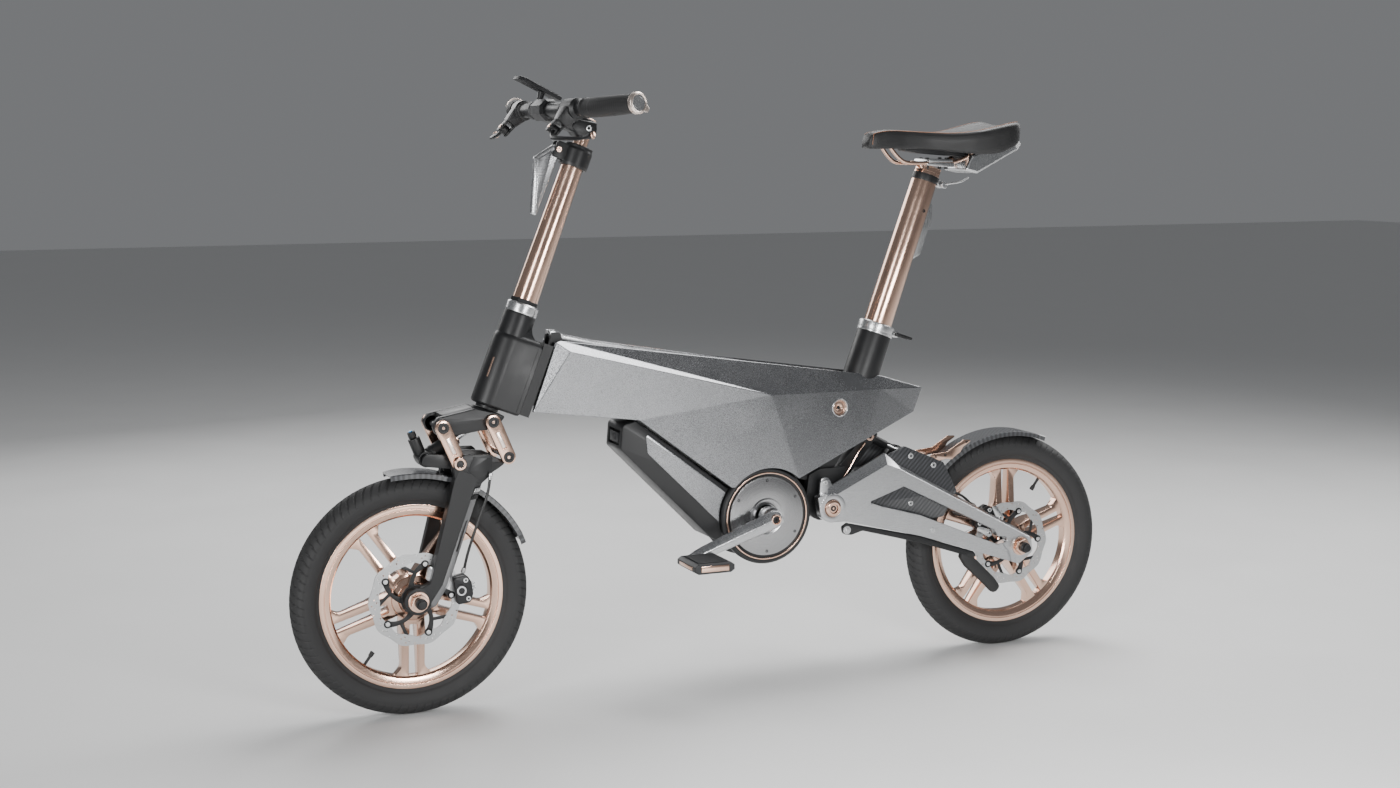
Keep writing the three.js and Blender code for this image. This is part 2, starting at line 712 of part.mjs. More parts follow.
// A mudguard: an arc of flat section round a wheel, between two angles in degrees.
const MUDGUARD_INNER = 208.5;
function mudguard(axle, fromDegrees, toDegrees) {
  const [inner, outer] = [MUDGUARD_INNER, MUDGUARD_INNER + 3];
  const shape = new THREE.Shape();
  const [a, b] = [fromDegrees, toDegrees].map(THREE.MathUtils.degToRad);
  shape.absarc(axle[0], axle[1], outer, a, b, false);
  shape.absarc(axle[0], axle[1], inner, b, a, true);
  return slab(shape, [-31, 31], 8);
}

function frontMudguard() {
  const guard = mudguard(FRONT_AXLE, 80, 158);
  const stay = box([468, -12, 388], [482, 12, 412.6]);
  return join(guard, stay);
}

// A brake caliper straddles the rotor's edge, in the direction given from the axle.
function caliper([x, z], degrees) {
  const body = box([-26, 20, 66], [26, 46, 96]);
  const slot = box([-40, ROTOR[0] - 1.4, 50], [40, ROTOR[1] + 1.4, 84]);
  return cut(body, slot).rotate([0, 90 - degrees, 0]).translate([x, 0, z]);
}

function axle([x, z], [low, high], nutFrom) {
  const shaft = disc([x, z], 7, [low, high]);
  const nuts = [[nutFrom[1], nutFrom[1] + 12], [nutFrom[0] - 12, nutFrom[0]]]
    .map((span) => disc([x, z], 15, span, 6));
  return join(shaft, ...nuts);
}

// ---------------------------------------------------------------- wheels
function rimAndHub(centre, startDegrees, hubHalf) {
  const rim = turned(
    [[RIM_RADIUS, -RIM_HALF_WIDTH], [RIM_RADIUS, RIM_HALF_WIDTH], [150, RIM_HALF_WIDTH],
      [146, 11], [136, 9], [136, -9], [146, -11], [150, -RIM_HALF_WIDTH]],
    centre,
    30,
  );
  const hub = disc(centre, 27, [-hubHalf, hubHalf], 10);
  const spokes = [];
  for (let i = 0; i < 5; i += 1) {
    const angle = THREE.MathUtils.degToRad(startDegrees + 72 * i);
    for (const side of [-1, 1]) {
      const outward = vec(Math.cos(angle), 0, Math.sin(angle));
      const across = vec(-Math.sin(angle), 0, Math.cos(angle)).multiplyScalar(side);
      const at = (radius, offset) =>
        vec(centre[0], 0, centre[1]).addScaledVector(outward, radius).addScaledVector(across, offset);
      const corners = [at(18, 6), at(139, 8), at(139, 17), at(18, 15)];
      spokes.push(plate(corners.map(flatOf), [-9, 9]));
    }
  }
  return cut(join(rim, hub, ...spokes), disc(centre, 7.6, [-80, 80]));
}

const tyre = (centre) => turned(
  [[RIM_RADIUS + 1.4, -14], [168, -22], [181, -TYRE_HALF_WIDTH], [194, -19],
    [TYRE_RADIUS, 0], [194, 19], [181, TYRE_HALF_WIDTH], [168, 22], [RIM_RADIUS + 1.4, 14]],
  centre,
  36,
);

function rotor(centre) {
  const ring = cut(disc(centre, 80, ROTOR, 28), disc(centre, 67, [0, 60], 28));
  const hub = disc(centre, 24, ROTOR);
  const arms = Array.from({ length: 5 }, (_, i) => {
    const angle = THREE.MathUtils.degToRad(18 + 72 * i);
    const point = (radius, turn) => [
      centre[0] + radius * Math.cos(angle + turn),
      centre[1] + radius * Math.sin(angle + turn),
    ];
    return bar(point(18, 0), 8, point(70, 0.12), 5, ROTOR, 2);
  });
  return cut(join(ring, hub, ...arms), disc(centre, 7.8, [0, 60]));
}

// ---------------------------------------------------------------- rear suspension
function foldRocker() {
  const body = bar(ARM_PIVOT, 15, ROCKER_EYE, 11, [-14, 14]);
  const shockRoom = plate([[-262, 400], [-240, 440], [-300, 460], [-330, 400]], [-8.5, 8.5]);
  const pin = disc(ROCKER_EYE, 5, [-14, 14], 12);
  return cut(join(cut(body, shockRoom), pin), disc(ARM_PIVOT, 8.5, [-20, 20]));
}

function armSide(span) {
  const body = plate(
    [[-158, 290], [-148, 340, 6], [-154, 354, 6], [-174, 354], [-292, 396, 6], [-318, 374, 10],
      [-600, 222], [-604, 190, 10], [-574, 169, 10], [-363, 241], [-206, 279, 10], [-181, 279, 8]],
    span,
  );
  const window = plate(
    [[-262, 316, 5], [-326, 332, 6], [-520, 238, 4], [-524, 225, 4], [-362, 278], [-280, 306]],
    [-80, 80],
  );
  return cut(join(body, disc(ARM_PIVOT, 26, span, 20), disc(REAR_AXLE, 20, span, 16)), window);
}

const STAND_PIVOT = [-212, 262];
function swingArm() {
  const standEar = plate([[-184, 284], [-200, 254, 4], [-222, 252, 4], [-232, 276]], [65, 69]);
  const standPin = disc(STAND_PIVOT, 3.8, [54.6, 66]);
  const bridge = plate([[-232, 326], [-262, 358], [-330, 352], [-336, 330], [-300, 322]], [-52, 52]);
  const eyeLug = plate([[-322, 350], [-336, 386, 4], [-352, 398, 8], [-366, 384, 8], [-346, 348]],
    [-24, 24]);
  const eyeRoom = disc(ARM_EYE, 14.5, [-9.5, 9.5]);
  const shaftRoom = plate([[-352, 372], [-300, 398], [-300, 430], [-360, 400]], [-9.5, 9.5]);
  const eyePin = disc(ARM_EYE, 5, [-24, 24], 12);
  const lug = cut(eyeLug, eyeRoom, shaftRoom);
  return cut(
    join(armSide(LEFT_ARM), armSide(RIGHT_ARM), bridge, lug, eyePin, standEar, standPin),
    disc(ARM_PIVOT, 8.5, [0, 90]),
    disc(ARM_PIVOT, 13.2, [-90, 0]),
    disc(REAR_AXLE, 7.6, [-90, 90]),
  );
}

function rearShockBody() {
  const eye = disc(ROCKER_EYE, 10, [-8, 8]);
  const barrel = flatRod(along(ROCKER_EYE, ARM_EYE, 0.08), along(ROCKER_EYE, ARM_EYE, 0.58), 8, 16);
  const dial = flatRod([-292, 427], [-297, 437], 4, 12);
  const shaftRoom = flatRod(
    along(ROCKER_EYE, ARM_EYE, 0.3), along(ROCKER_EYE, ARM_EYE, 0.7), 4.8, 12,
  );
  return cut(join(eye, barrel, dial), shaftRoom, disc(ROCKER_EYE, 5.6, [-20, 20], 12));
}

function rearShockShaft() {
  const shaft = flatRod(along(ROCKER_EYE, ARM_EYE, 0.5), along(ROCKER_EYE, ARM_EYE, 0.9), 4.2, 12);
  const eye = disc(ARM_EYE, 9, [-8, 8]);
  return cut(join(shaft, eye), disc(ARM_EYE, 6.6, [-20, 20], 12));
}

function rearMudguard() {
  const guard = mudguard(REAR_AXLE, 42, 112);
  const stay = plate([[-337.5, 333], [-337.5, 343], [-350, 346], [-400, 366], [-426, 356],
    [-424, 345], [-392, 350]], [-14, 14]);
  return cut(join(guard, stay), disc(REAR_AXLE, MUDGUARD_INNER - 0.5, [-40, 40], 48));
}

function jackPulley() {
  const spool = disc(ARM_PIVOT, 12.4, [-68, -39]);
  const outer = disc(ARM_PIVOT, JACK_RADIUS - 0.4, CHAIN_LINE, 24);
  const inner = disc(ARM_PIVOT, JACK_RADIUS - 0.4, REAR_BELT_LINE, 24);
  return cut(join(spool, outer, inner), disc(ARM_PIVOT, 8.5, [-80, 0]));
}

// The sprocket stands on the right of the rear hub, on a short neck.
function rearSprocket() {
  const ring = disc(REAR_AXLE, SPROCKET_RADIUS - 0.4, REAR_BELT_LINE, 24);
  const neck = disc(REAR_AXLE, 18, [-46, -30]);
  return cut(join(ring, neck), disc(REAR_AXLE, 7.6, [-60, 0]));
}

function kickstand() {
  const leg = bar(STAND_PIVOT, 9, [-470, 178], 8, [54.6, 64.4]);
  const foot = plate([[-462, 186], [-478, 170], [-540, 132, 6], [-530, 121, 6], [-458, 168]],
    [52, 66]);
  return cut(join(leg, foot), disc(STAND_PIVOT, 4.4, [50, 70]));
}

// ---------------------------------------------------------------- cranks and pedals
const crankTip = (side) => [
  CRANK_AXLE[0] + side * CRANK_LENGTH * Math.cos(CRANK_ANGLE),
  CRANK_AXLE[1] + side * CRANK_LENGTH * Math.sin(CRANK_ANGLE),
];

function leftCrank() {
  const arm = bar(CRANK_AXLE, 17, crankTip(1), 13, CRANK_PLANE);
  const hub = disc(CRANK_AXLE, 19, [54, 77]);
  const spindle = disc(CRANK_AXLE, 11, [-72, 60]);
  return cut(join(arm, hub, spindle), disc(crankTip(1), 6.6, [60, 100]));
}

function rightCrank() {
  const arm = bar(CRANK_AXLE, 17, crankTip(-1), 13, mirrored(CRANK_PLANE));
  const hub = disc(CRANK_AXLE, 19, [-77, -53]);
  const ring = cut(
    disc(CRANK_AXLE, CHAINRING_RADIUS - 0.4, CHAIN_LINE, 24),
    disc(CRANK_AXLE, 44, [-70, -58], 24),
  );
  const spider = [0, 1, 2, 3].map((i) => {
    const angle = CRANK_ANGLE + (i * Math.PI) / 2;
    const end = [
      CRANK_AXLE[0] + 48 * Math.cos(angle),
      CRANK_AXLE[1] + 48 * Math.sin(angle),
    ];
    return bar(CRANK_AXLE, 12, end, 7, [-68, -62], 2);
  });
  const socket = disc(CRANK_AXLE, 11.6, [-72.4, -40]);
  return cut(join(arm, hub, ring, ...spider), socket, disc(crankTip(-1), 6.6, [-100, -60]));
}

function pedal(side) {
  const [x, z] = crankTip(side);
  const span = side > 0 ? [94, 177] : [-177, -94];
  const frame = plate(
    [[x - 37, z - 5], [x - 30, z - 11], [x + 30, z - 11], [x + 37, z - 5], [x + 37, z + 5],
      [x + 30, z + 11], [x - 30, z + 11], [x - 37, z + 5]],
    span,
  );
  const openings = [-1, 1].map((end) => {
    const [near, far] = side > 0 ? [103, 166] : [-166, -103];
    return box([x + end * 19 - 9, near, z - 20], [x + end * 19 + 9, far, z + 20]);
  });
  const spindle = disc([x, z], 6, side > 0 ? [80, 110] : [-110, -80]);
  return join(cut(frame, ...openings), spindle);
}

// ---------------------------------------------------------------- seat
const POST_TOP = 968;
function seatPost() {
  const post = seatRod(545, POST_TOP - 6, 27, 20, 23.4);
  const head = leaningBlock(onSeat, [-26, 24], [-16, 16], [POST_TOP - 12, POST_TOP + 4]);
  const fin = leaningBlock(onSeat, [-34, -18], [-3.5, 3.5], [800, 905]);
  return join(post, head, fin);
}

function saddleRails() {
  const rail = (side) => tube(
    [[-318, 16, 944], [-334, 18, 926], [-352, 20, 917], [-440, 22, 917], [-470, 26, 926],
      [-492, 34, 944]].map(([x, y, z]) => vec(x, side * y, z)),
    3.5,
    9,
    6,
  );
  const clamp = cut(
    box([-444, -28, 909], [-388, 28, 921]),
    leaningBlock(onSeat, [-60, 60], [-40, 40], [900, POST_TOP + 4 + GAP]),
  );
  return join(rail(1), rail(-1), clamp);
}

// The saddle narrows from a wide tail to a slim nose.
const SADDLE_SIDES = 12;
function saddle() {
  const stations = [
    [-276, 9, 950, 968], [-292, 17, 947, 974], [-330, 24, 946, 978], [-380, 34, 945, 976],
    [-430, 54, 944, 974], [-480, 70, 938, 978], [-525, 76, 944, 988], [-552, 70, 960, 990],
    [-565, 52, 970, 984],
  ];
  const rings = stations.map(([x, half, low, high]) => Array.from({ length: SADDLE_SIDES }, (_, i) => {
    const angle = (2 * Math.PI * i) / SADDLE_SIDES;
    return [x, half * Math.cos(angle), (low + high) / 2 + ((high - low) / 2) * Math.sin(angle)];
  }));
  const triangles = [];
  rings.slice(1).forEach((ring, r) => ring.forEach((point, i) => {
    const j = (i + 1) % SADDLE_SIDES;
    triangles.push([point, ring[j], rings[r][j]], [point, rings[r][j], rings[r][i]]);
  }));
  for (const ring of [rings[0], rings.at(-1)]) {
    for (let i = 1; i < SADDLE_SIDES - 1; i += 1) triangles.push([ring[0], ring[i], ring[i + 1]]);
  }
  const railRoom = [1, -1].map((side) => tube(
    [[-300, 15, 966], [-318, 16, 944], [-334, 18, 926], [-352, 20, 917]]
      .map(([x, y, z]) => vec(x, side * y, z)), 5, 6,
  ));
  const rearRoom = [1, -1].map((side) => tube(
    [[-440, 22, 917], [-470, 26, 926], [-492, 34, 944], [-500, 37, 956]]
      .map(([x, y, z]) => vec(x, side * y, z)), 5, 6,
  ));
  return cut(polyhedron(triangles), ...railRoom, ...rearRoom);
}

function seatLever() {
  const pivot = flatOf(onSeat(-38, 0, 658.5));
  const blade = plate([
    [pivot[0] + 4, pivot[1] - 3], [pivot[0] + 2, pivot[1] + 4], [pivot[0] - 34, pivot[1] - 6],
    [pivot[0] - 72, pivot[1] - 12, 3], [pivot[0] - 70, pivot[1] - 18, 3], [pivot[0] - 30, pivot[1] - 16],
  ], [8, 14]);
  return blade;
}

// ---------------------------------------------------------------- the assembly
node("frame_spine", SATIN_BLACK, frameSpine());
node("left_shell", SHELL_GREY, shell(1));
node("right_shell", SHELL_GREY, shell(-1));
node("crank_housing", SATIN_BLACK, crankHousing());
node("left_crank_bearing", STEEL, crankBearing([34.4, 45.6]));
node("right_crank_bearing", STEEL, crankBearing([-49.6, -34.4]));
node("left_cover", BRUSHED, leftCover());
node("lower_beam", SATIN_BLACK, lowerBeam());
node("battery_pack", PLASTIC, plate(BATTERY_POINTS, [-24, 24]));
node("pivot_axle", ROSE_GOLD, pivotAxle());
node("seat_tube", SATIN_BLACK, seatTube());
node("front_belt", RUBBER, belt([CRANK_AXLE, CHAINRING_RADIUS], [ARM_PIVOT, JACK_RADIUS], CHAIN_LINE));
node("hinge_pin", STEEL, hingePin());
node("latch_lever", BRUSHED, latchLever());

node("head_casting", SATIN_BLACK, headCasting());
node("steering_column", ROSE_GOLD, steeringColumn());
node("column_clamp", SATIN_BLACK, columnClamp());
node("column_clamp_lever", BRUSHED, clampLever());
node("fork_crown", SATIN_BLACK, crown());

node("stem_tube", ROSE_GOLD, stemTube());
node("handlebar", SATIN_BLACK, handlebar());
node("left_grip", RUBBER, grip(1));
node("right_grip", RUBBER, grip(-1));
node("left_brake_lever", SATIN_BLACK, brakeLever(1));
node("right_brake_lever", SATIN_BLACK, brakeLever(-1));
node("display", PLASTIC, display());

node("front_link", ROSE_GOLD, link("front"));
node("rear_link", ROSE_GOLD, link("rear"));
node("fork", SATIN_BLACK, fork());
node("front_shock_body", SATIN_BLACK, frontShockBody());
node("front_shock_shaft", STEEL, frontShockShaft());
node("front_mudguard", CARBON, frontMudguard());
node("front_caliper", SATIN_BLACK, caliper(FRONT_AXLE, 172));
node("front_brake_cable", RUBBER, tube(
  [vec(452, 56, 400), vec(458, 56.5, 372), vec(478, 57, 320), vec(490, 50, 278), vec(494, 42, 252)],
  2.4, 14, 8,
));
node("front_axle", ROSE_GOLD, axle(FRONT_AXLE, [-84, 84], [-52.4, 52.4]));
node("front_wheel", ROSE_GOLD, rimAndHub(FRONT_AXLE, 270, 31));
node("front_tyre", RUBBER, tyre(FRONT_AXLE));
node("front_rotor", STEEL, rotor(FRONT_AXLE));

node("fold_rocker", SATIN_BLACK, foldRocker());
node("swing_arm", BRUSHED, swingArm());
node("rear_shock_body", SATIN_BLACK, rearShockBody());
node("rear_shock_shaft", STEEL, rearShockShaft());
node("rear_mudguard", CARBON, rearMudguard());
node("rear_caliper", SATIN_BLACK, caliper(REAR_AXLE, 41));
node("rear_brake_hose", RUBBER, tube(
  [vec(-346, 44, 340), vec(-400, 46, 324), vec(-456, 44, 306), vec(-488, 36, 284)],
  2.4, 12, 8,
));
node("rear_axle", ROSE_GOLD, axle(REAR_AXLE, [-84, 97], [-59.2, 69.4]));
node("rear_belt", RUBBER, belt([ARM_PIVOT, JACK_RADIUS], [REAR_AXLE, SPROCKET_RADIUS], REAR_BELT_LINE));
node("jack_pulley", STEEL, jackPulley());
node("rear_wheel", ROSE_GOLD, join(rimAndHub(REAR_AXLE, 90, 31), rearSprocket()));
node("rear_tyre", RUBBER, tyre(REAR_AXLE));
node("rear_rotor", STEEL, rotor(REAR_AXLE));
node("kickstand", SATIN_BLACK, kickstand());

node("left_crank", BRUSHED, leftCrank());
node("right_crank", BRUSHED, rightCrank());
node("left_pedal", PLASTIC, pedal(1));
node("right_pedal", PLASTIC, pedal(-1));
node("seat_post", ROSE_GOLD, seatPost());
node("saddle_rails", ROSE_GOLD, saddleRails());
node("saddle", FOAM, saddle());
node("seat_lever", SATIN_BLACK, seatLever());

export default parts;
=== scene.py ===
"""A folding bicycle: the looks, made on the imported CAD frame.

Shapes are written in millimetres in the frame's axes (+X forward, +Y to the rider's left, +Z up)
and become metres when a piece is made.
"""
import math

import bmesh
import bpy
from mathutils import Matrix, Vector
from mathutils.geometry import tessellate_polygon


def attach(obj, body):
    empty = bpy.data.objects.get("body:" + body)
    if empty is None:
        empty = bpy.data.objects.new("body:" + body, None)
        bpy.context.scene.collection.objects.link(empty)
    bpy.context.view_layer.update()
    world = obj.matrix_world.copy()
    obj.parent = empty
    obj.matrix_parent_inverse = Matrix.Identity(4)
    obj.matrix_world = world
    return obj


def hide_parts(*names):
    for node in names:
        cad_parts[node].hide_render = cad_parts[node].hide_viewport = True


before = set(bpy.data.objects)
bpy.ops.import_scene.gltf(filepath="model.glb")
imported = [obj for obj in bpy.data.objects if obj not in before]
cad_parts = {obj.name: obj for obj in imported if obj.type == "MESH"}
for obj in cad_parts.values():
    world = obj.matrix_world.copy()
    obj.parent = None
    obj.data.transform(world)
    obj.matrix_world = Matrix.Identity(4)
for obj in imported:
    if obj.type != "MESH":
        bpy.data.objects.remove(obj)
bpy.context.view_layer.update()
SCENE = bpy.context.scene

# ------------------------------------------------------------------ shapes


class Solid:
    """Points and faces in millimetres."""

    def __init__(self, points=(), faces=()):
        self.points = [Vector(p) for p in points]
        self.faces = [tuple(f) for f in faces]

    def __add__(self, other):
        shift = len(self.points)
        moved = [tuple(i + shift for i in f) for f in other.faces]
        return Solid(self.points + other.points, self.faces + moved)

    def moved(self, matrix):
        return Solid([matrix @ p for p in self.points], self.faces)

    def mirrored(self):
        return Solid([(p.x, -p.y, p.z) for p in self.points], self.faces)


def both(solid):
    return solid + solid.mirrored()


def total(solids):
    whole = Solid()
    for solid in solids:
        whole = whole + solid
    return whole


def fillet(points, steps=5):
    """A closed outline from (x, z) or (x, z, radius) corners."""
    out = []
    for i, corner in enumerate(points):
        here = Vector(corner[:2])
        if len(corner) < 3 or corner[2] == 0:
            out.append(here)
            continue
        before = Vector(points[i - 1][:2]) - here
        after = Vector(points[(i + 1) % len(points)][:2]) - here
        half = before.angle(after) / 2
        reach = min(corner[2] / math.tan(half), 0.48 * before.length, 0.48 * after.length)
        radius = reach * math.tan(half)
        middle = (before.normalized() + after.normalized()).normalized()
        centre = here + middle * (radius / math.sin(half))
        start = here + before.normalized() * reach - centre
        end = here + after.normalized() * reach - centre
        first = math.atan2(start.y, start.x)
        sweep = (math.atan2(end.y, end.x) - first + math.pi) % math.tau - math.pi
        for k in range(steps + 1):
            angle = first + sweep * k / steps
            out.append(centre + radius * Vector((math.cos(angle), math.sin(angle))))
    return out


def area(loop):
    following = loop[1:] + loop[:1]
    return sum(a.x * b.y - b.x * a.y for a, b in zip(loop, following)) / 2


def inset(loop, depth):
    """The loop with each edge moved inwards."""
    turn = 1 if area(loop) > 0 else -1
    out = []
    for i, point in enumerate(loop):
        a = (point - loop[i - 1]).normalized()
        b = (loop[(i + 1) % len(loop)] - point).normalized()
        na = Vector((-a.y, a.x)) * turn
        nb = Vector((-b.y, b.x)) * turn
        out.append(point + (na + nb) * (depth / max(1 + na.dot(nb), 0.5)))
    return out


def stack(levels, holes=()):
    """A solid through levels of (y, loop), with hole levels [(y, loop), ...] cut right through."""
    points, faces = [], []
    ends = [[], []]
    for rings in [levels, *holes]:
        count = len(rings[0][1])
        starts = []
        for y, loop in rings:
            starts.append(len(points))
            points += [Vector((p.x, y, p.y)) for p in loop]
        for a, b in zip(starts, starts[1:]):
            faces += [
                (a + i, a + (i + 1) % count, b + (i + 1) % count, b + i) for i in range(count)
            ]
        for end, start in zip(ends, (starts[0], starts[-1])):
            end.append(range(start, start + count))
    for end in ends:
        order = [i for ring in end for i in ring]
        flat = [[Vector((points[i].x, points[i].z, 0)) for i in ring] for ring in end]
        faces += [tuple(order[i] for i in triangle) for triangle in tessellate_polygon(flat)]
    return Solid(points, faces)


def edged(loop, span, edge, way=1):
    """Levels of one loop between two Y stations, with its two rims rounded off."""
    low, high = span
    return [
        (low, inset(loop, way * edge)),
        (low + 0.3 * edge, inset(loop, way * 0.3 * edge)),
        (low + edge, loop),
        (high - edge, loop),
        (high - 0.3 * edge, inset(loop, way * 0.3 * edge)),
        (high, inset(loop, way * edge)),
    ]


def plate(points, span, holes=(), edge=0.8):
    holes = [edged(fillet(hole), span, edge, -1) for hole in holes]
    return stack(edged(fillet(points), span, edge), holes)


def circle(centre, radius, steps=40, start=0.0):
    return [
        (
            centre[0] + radius * math.cos(start + math.tau * k / steps),
            centre[1] + radius * math.sin(start + math.tau * k / steps),
        )
        for k in range(steps)
    ]


def capsule(a, ra, b, rb, steps=16):
    """The outline round two discs."""
    a, b = Vector(a), Vector(b)
    along = math.atan2(b.y - a.y, b.x - a.x)
    spread = math.acos((ra - rb) / (b - a).length)
    out = []
    for centre, radius, first, sweep in (
        (a, ra, along + spread, math.tau - 2 * spread),
        (b, rb, along - spread, 2 * spread),
    ):
        for k in range(steps + 1):
            angle = first + sweep * k / steps
            out.append(centre + radius * Vector((math.cos(angle), math.sin(angle))))
    return [tuple(p) for p in out]


def aim(a, b):
    """Takes the +Y axis from the origin to the line from a to b."""
    a, b = Vector(a), Vector(b)
    return Matrix.Translation(a) @ (b - a).to_track_quat("Y", "Z").to_matrix().to_4x4()


def lathe(profile, steps=72):
    """A closed profile of (radius, y) or (radius, y, fillet) corners, turned about the Y axis."""
    ring = fillet(profile, 4)
    count = len(ring)
    points = []
    for k in range(steps):
        angle = math.tau * k / steps
        points += [(p.x * math.cos(angle), p.y, p.x * math.sin(angle)) for p in ring]
    faces = []
    for k in range(steps):
        a, b = k * count, (k + 1) % steps * count
        faces += [(a + i, a + (i + 1) % count, b + (i + 1) % count, b + i) for i in range(count)]
    return Solid(points, faces)


def turned(profile, centre, steps=72):
    """A lathe whose axle lies across the bicycle at an (x, z) centre."""
    return lathe(profile, steps).moved(Matrix.Translation((centre[0], 0, centre[1])))


def rod(a, b, ra, rb=None, edge=0.6, steps=40):
    rb = ra if rb is None else rb
    length = (Vector(b) - Vector(a)).length
    profile = [(0, 0), (ra, 0, edge), (rb, length, edge), (0, length)]
    return lathe(profile, steps).moved(aim(a, b))


def disc(centre, radius, span, edge=0.6, steps=40):
    x, z = centre
    return rod((x, span[0], z), (x, span[1], z), radius, radius, edge, steps)


def ring(centre, outer, inner, span, edge=0.5, steps=56):
    low, high = span
    profile = [(inner, low, edge), (outer, low, edge), (outer, high, edge), (inner, high, edge)]
    return turned(profile, centre, steps)


def smooth(points, step):
    """Points along a smooth curve through the given ones."""
    points = [Vector(p) for p in points]
    ends = [2 * points[0] - points[1], *points, 2 * points[-1] - points[-2]]
    out = []
    for p0, p1, p2, p3 in zip(ends, ends[1:], ends[2:], ends[3:]):
        count = max(1, round((p2 - p1).length / step))
        for k in range(count):
            t = k / count
            out.append(
                0.5
                * (
                    2 * p1
                    + (p2 - p0) * t
                    + (2 * p0 - 5 * p1 + 4 * p2 - p3) * t**2
                    + (3 * p1 - p0 - 3 * p2 + p3) * t**3
                )
            )
    return [*out, points[-1]]


def pipe(points, radius, sides=14, step=4.0, flat=1.0, up=(0, 0, 1)):
    """A tube along a smooth route. radius is a size or a function of the share of the route."""
    path = smooth(points, step)
    size = radius if callable(radius) else lambda share: radius
    rings = []
    last = len(path) - 1
    for i, point in enumerate(path):
        tangent = (path[min(i + 1, last)] - path[max(i - 1, 0)]).normalized()
        side = tangent.cross(Vector(up)).normalized()
        rise = side.cross(tangent)
        r = size(i / last)
        section = [
            side * (r * math.cos(math.tau * k / sides)) + rise * (r * flat * math.sin(math.tau * k / sides))
            for k in range(sides)
        ]
        if i == 0:
            rings.append([point - tangent * 0.25 * r + 0.7 * v for v in section])
        rings.append([point + v for v in section])
        if i == last:
            rings.append([point + tangent * 0.25 * r + 0.7 * v for v in section])
    return loft(rings)


def loft(rings):
    """A closed solid through rings of equally many points."""
    count = len(rings[0])
    points = [p for loop in rings for p in loop]
    faces = [tuple(range(count)), tuple(range(len(points) - count, len(points)))]
    for a in range(0, len(points) - count, count):
        b = a + count
        faces += [(a + i, a + (i + 1) % count, b + (i + 1) % count, b + i) for i in range(count)]
    return Solid(points, faces)


def as_solid(bm):
    bm.verts.index_update()
    made = Solid([v.co for v in bm.verts], [[v.index for v in f.verts] for f in bm.faces])
    bm.free()
    return made


def bevelled(solid, edge, segments=2, sharper_than=20):
    """The solid with its sharp edges rounded off."""
    bm = bmesh.new()
    verts = [bm.verts.new(p) for p in solid.points]
    for f in solid.faces:
        bm.faces.new([verts[i] for i in f])
    bmesh.ops.remove_doubles(bm, verts=bm.verts, dist=0.01)
    bmesh.ops.recalc_face_normals(bm, faces=bm.faces)
    bmesh.ops.dissolve_limit(
        bm, angle_limit=math.radians(1), verts=bm.verts, edges=bm.edges, delimit=set()
    )
    sharp = [e for e in bm.edges if e.calc_face_angle(0) > math.radians(sharper_than)]
    bmesh.ops.bevel(
        bm, geom=sharp, offset=edge, segments=segments, profile=0.5, affect="EDGES", clamp_overlap=True
    )
    return as_solid(bm)


def hull(points, edge=1.0, segments=2):
    """The convex block over some points."""
    bm = bmesh.new()
    for p in points:
        bm.verts.new(p)
    bmesh.ops.convex_hull(bm, input=bm.verts)
    spare = [v for v in bm.verts if not v.link_faces]
    bmesh.ops.delete(bm, geom=spare, context="VERTS")
    return bevelled(as_solid(bm), edge, segments) if edge else as_solid(bm)


def block(low, high, edge=1.0):
    corners = [(x, y, z) for x in (low[0], high[0]) for y in (low[1], high[1]) for z in (low[2], high[2])]
    return hull(corners, edge)


def mesh_of(solid, name, scale=1.0):
    bm = bmesh.new()
    verts = [bm.verts.new(p * scale) for p in solid.points]
    for f in solid.faces:
        if len(set(f)) > 2:
            bm.faces.new([verts[i] for i in dict.fromkeys(f)])
    bmesh.ops.remove_doubles(bm, verts=bm.verts, dist=0.002 * scale)
    bmesh.ops.recalc_face_normals(bm, faces=bm.faces)
    mesh = bpy.data.meshes.new(name)
    bm.to_mesh(mesh)
    bm.free()
    return mesh


def boolean(solid, operation, others):
    """The solid with others taken away or joined on."""
    main = bpy.data.objects.new("main", mesh_of(solid, "main"))
    SCENE.collection.objects.link(main)
    tools = []
    for other in others:
        tool = bpy.data.objects.new("tool", mesh_of(other, "tool"))
        SCENE.collection.objects.link(tool)
        modifier = main.modifiers.new("cut", "BOOLEAN")
        modifier.operation = operation
        modifier.solver = "MANIFOLD"
        modifier.object = tool
        tools.append(tool)
    bpy.context.view_layer.update()
    shape = main.evaluated_get(bpy.context.evaluated_depsgraph_get()).to_mesh()
    made = Solid([v.co for v in shape.vertices], [tuple(p.vertices) for p in shape.polygons])
    for thing in [main, *tools]:
        mesh = thing.data
        bpy.data.objects.remove(thing)
        bpy.data.meshes.remove(mesh)
    return made


def turn_to(name):
    """What brings a solid made for the left side to its own side."""
    return Solid.mirrored if name == "right" else lambda solid: solid


def carved(solid, *others):
    return boolean(solid, "DIFFERENCE", others)


def piece(name, solid, body, material, replaces=(), sharp=32, chamfer=0.0):
    """A visible piece that rides on a body of the frame."""
    mesh = mesh_of(solid, name, 0.001)
    mesh.shade_smooth()
    mesh.set_sharp_from_angle(angle=math.radians(sharp))
    mesh.materials.append(material)
    thing = bpy.data.objects.new(name, mesh)
    SCENE.collection.objects.link(thing)
    if chamfer:
        soften(thing, chamfer)
    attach(thing, body)
    if replaces:
        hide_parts(*([replaces] if isinstance(replaces, str) else replaces))
    return thing


def soften(thing, width):
    """Rounds the sharp edges of a piece or a CAD node with a modifier."""
    modifier = thing.modifiers.new("edges", "BEVEL")
    modifier.width = width * 0.001
    modifier.segments = 2
    modifier.limit_method = "ANGLE"
    modifier.angle_limit = math.radians(34)
    modifier.harden_normals = True


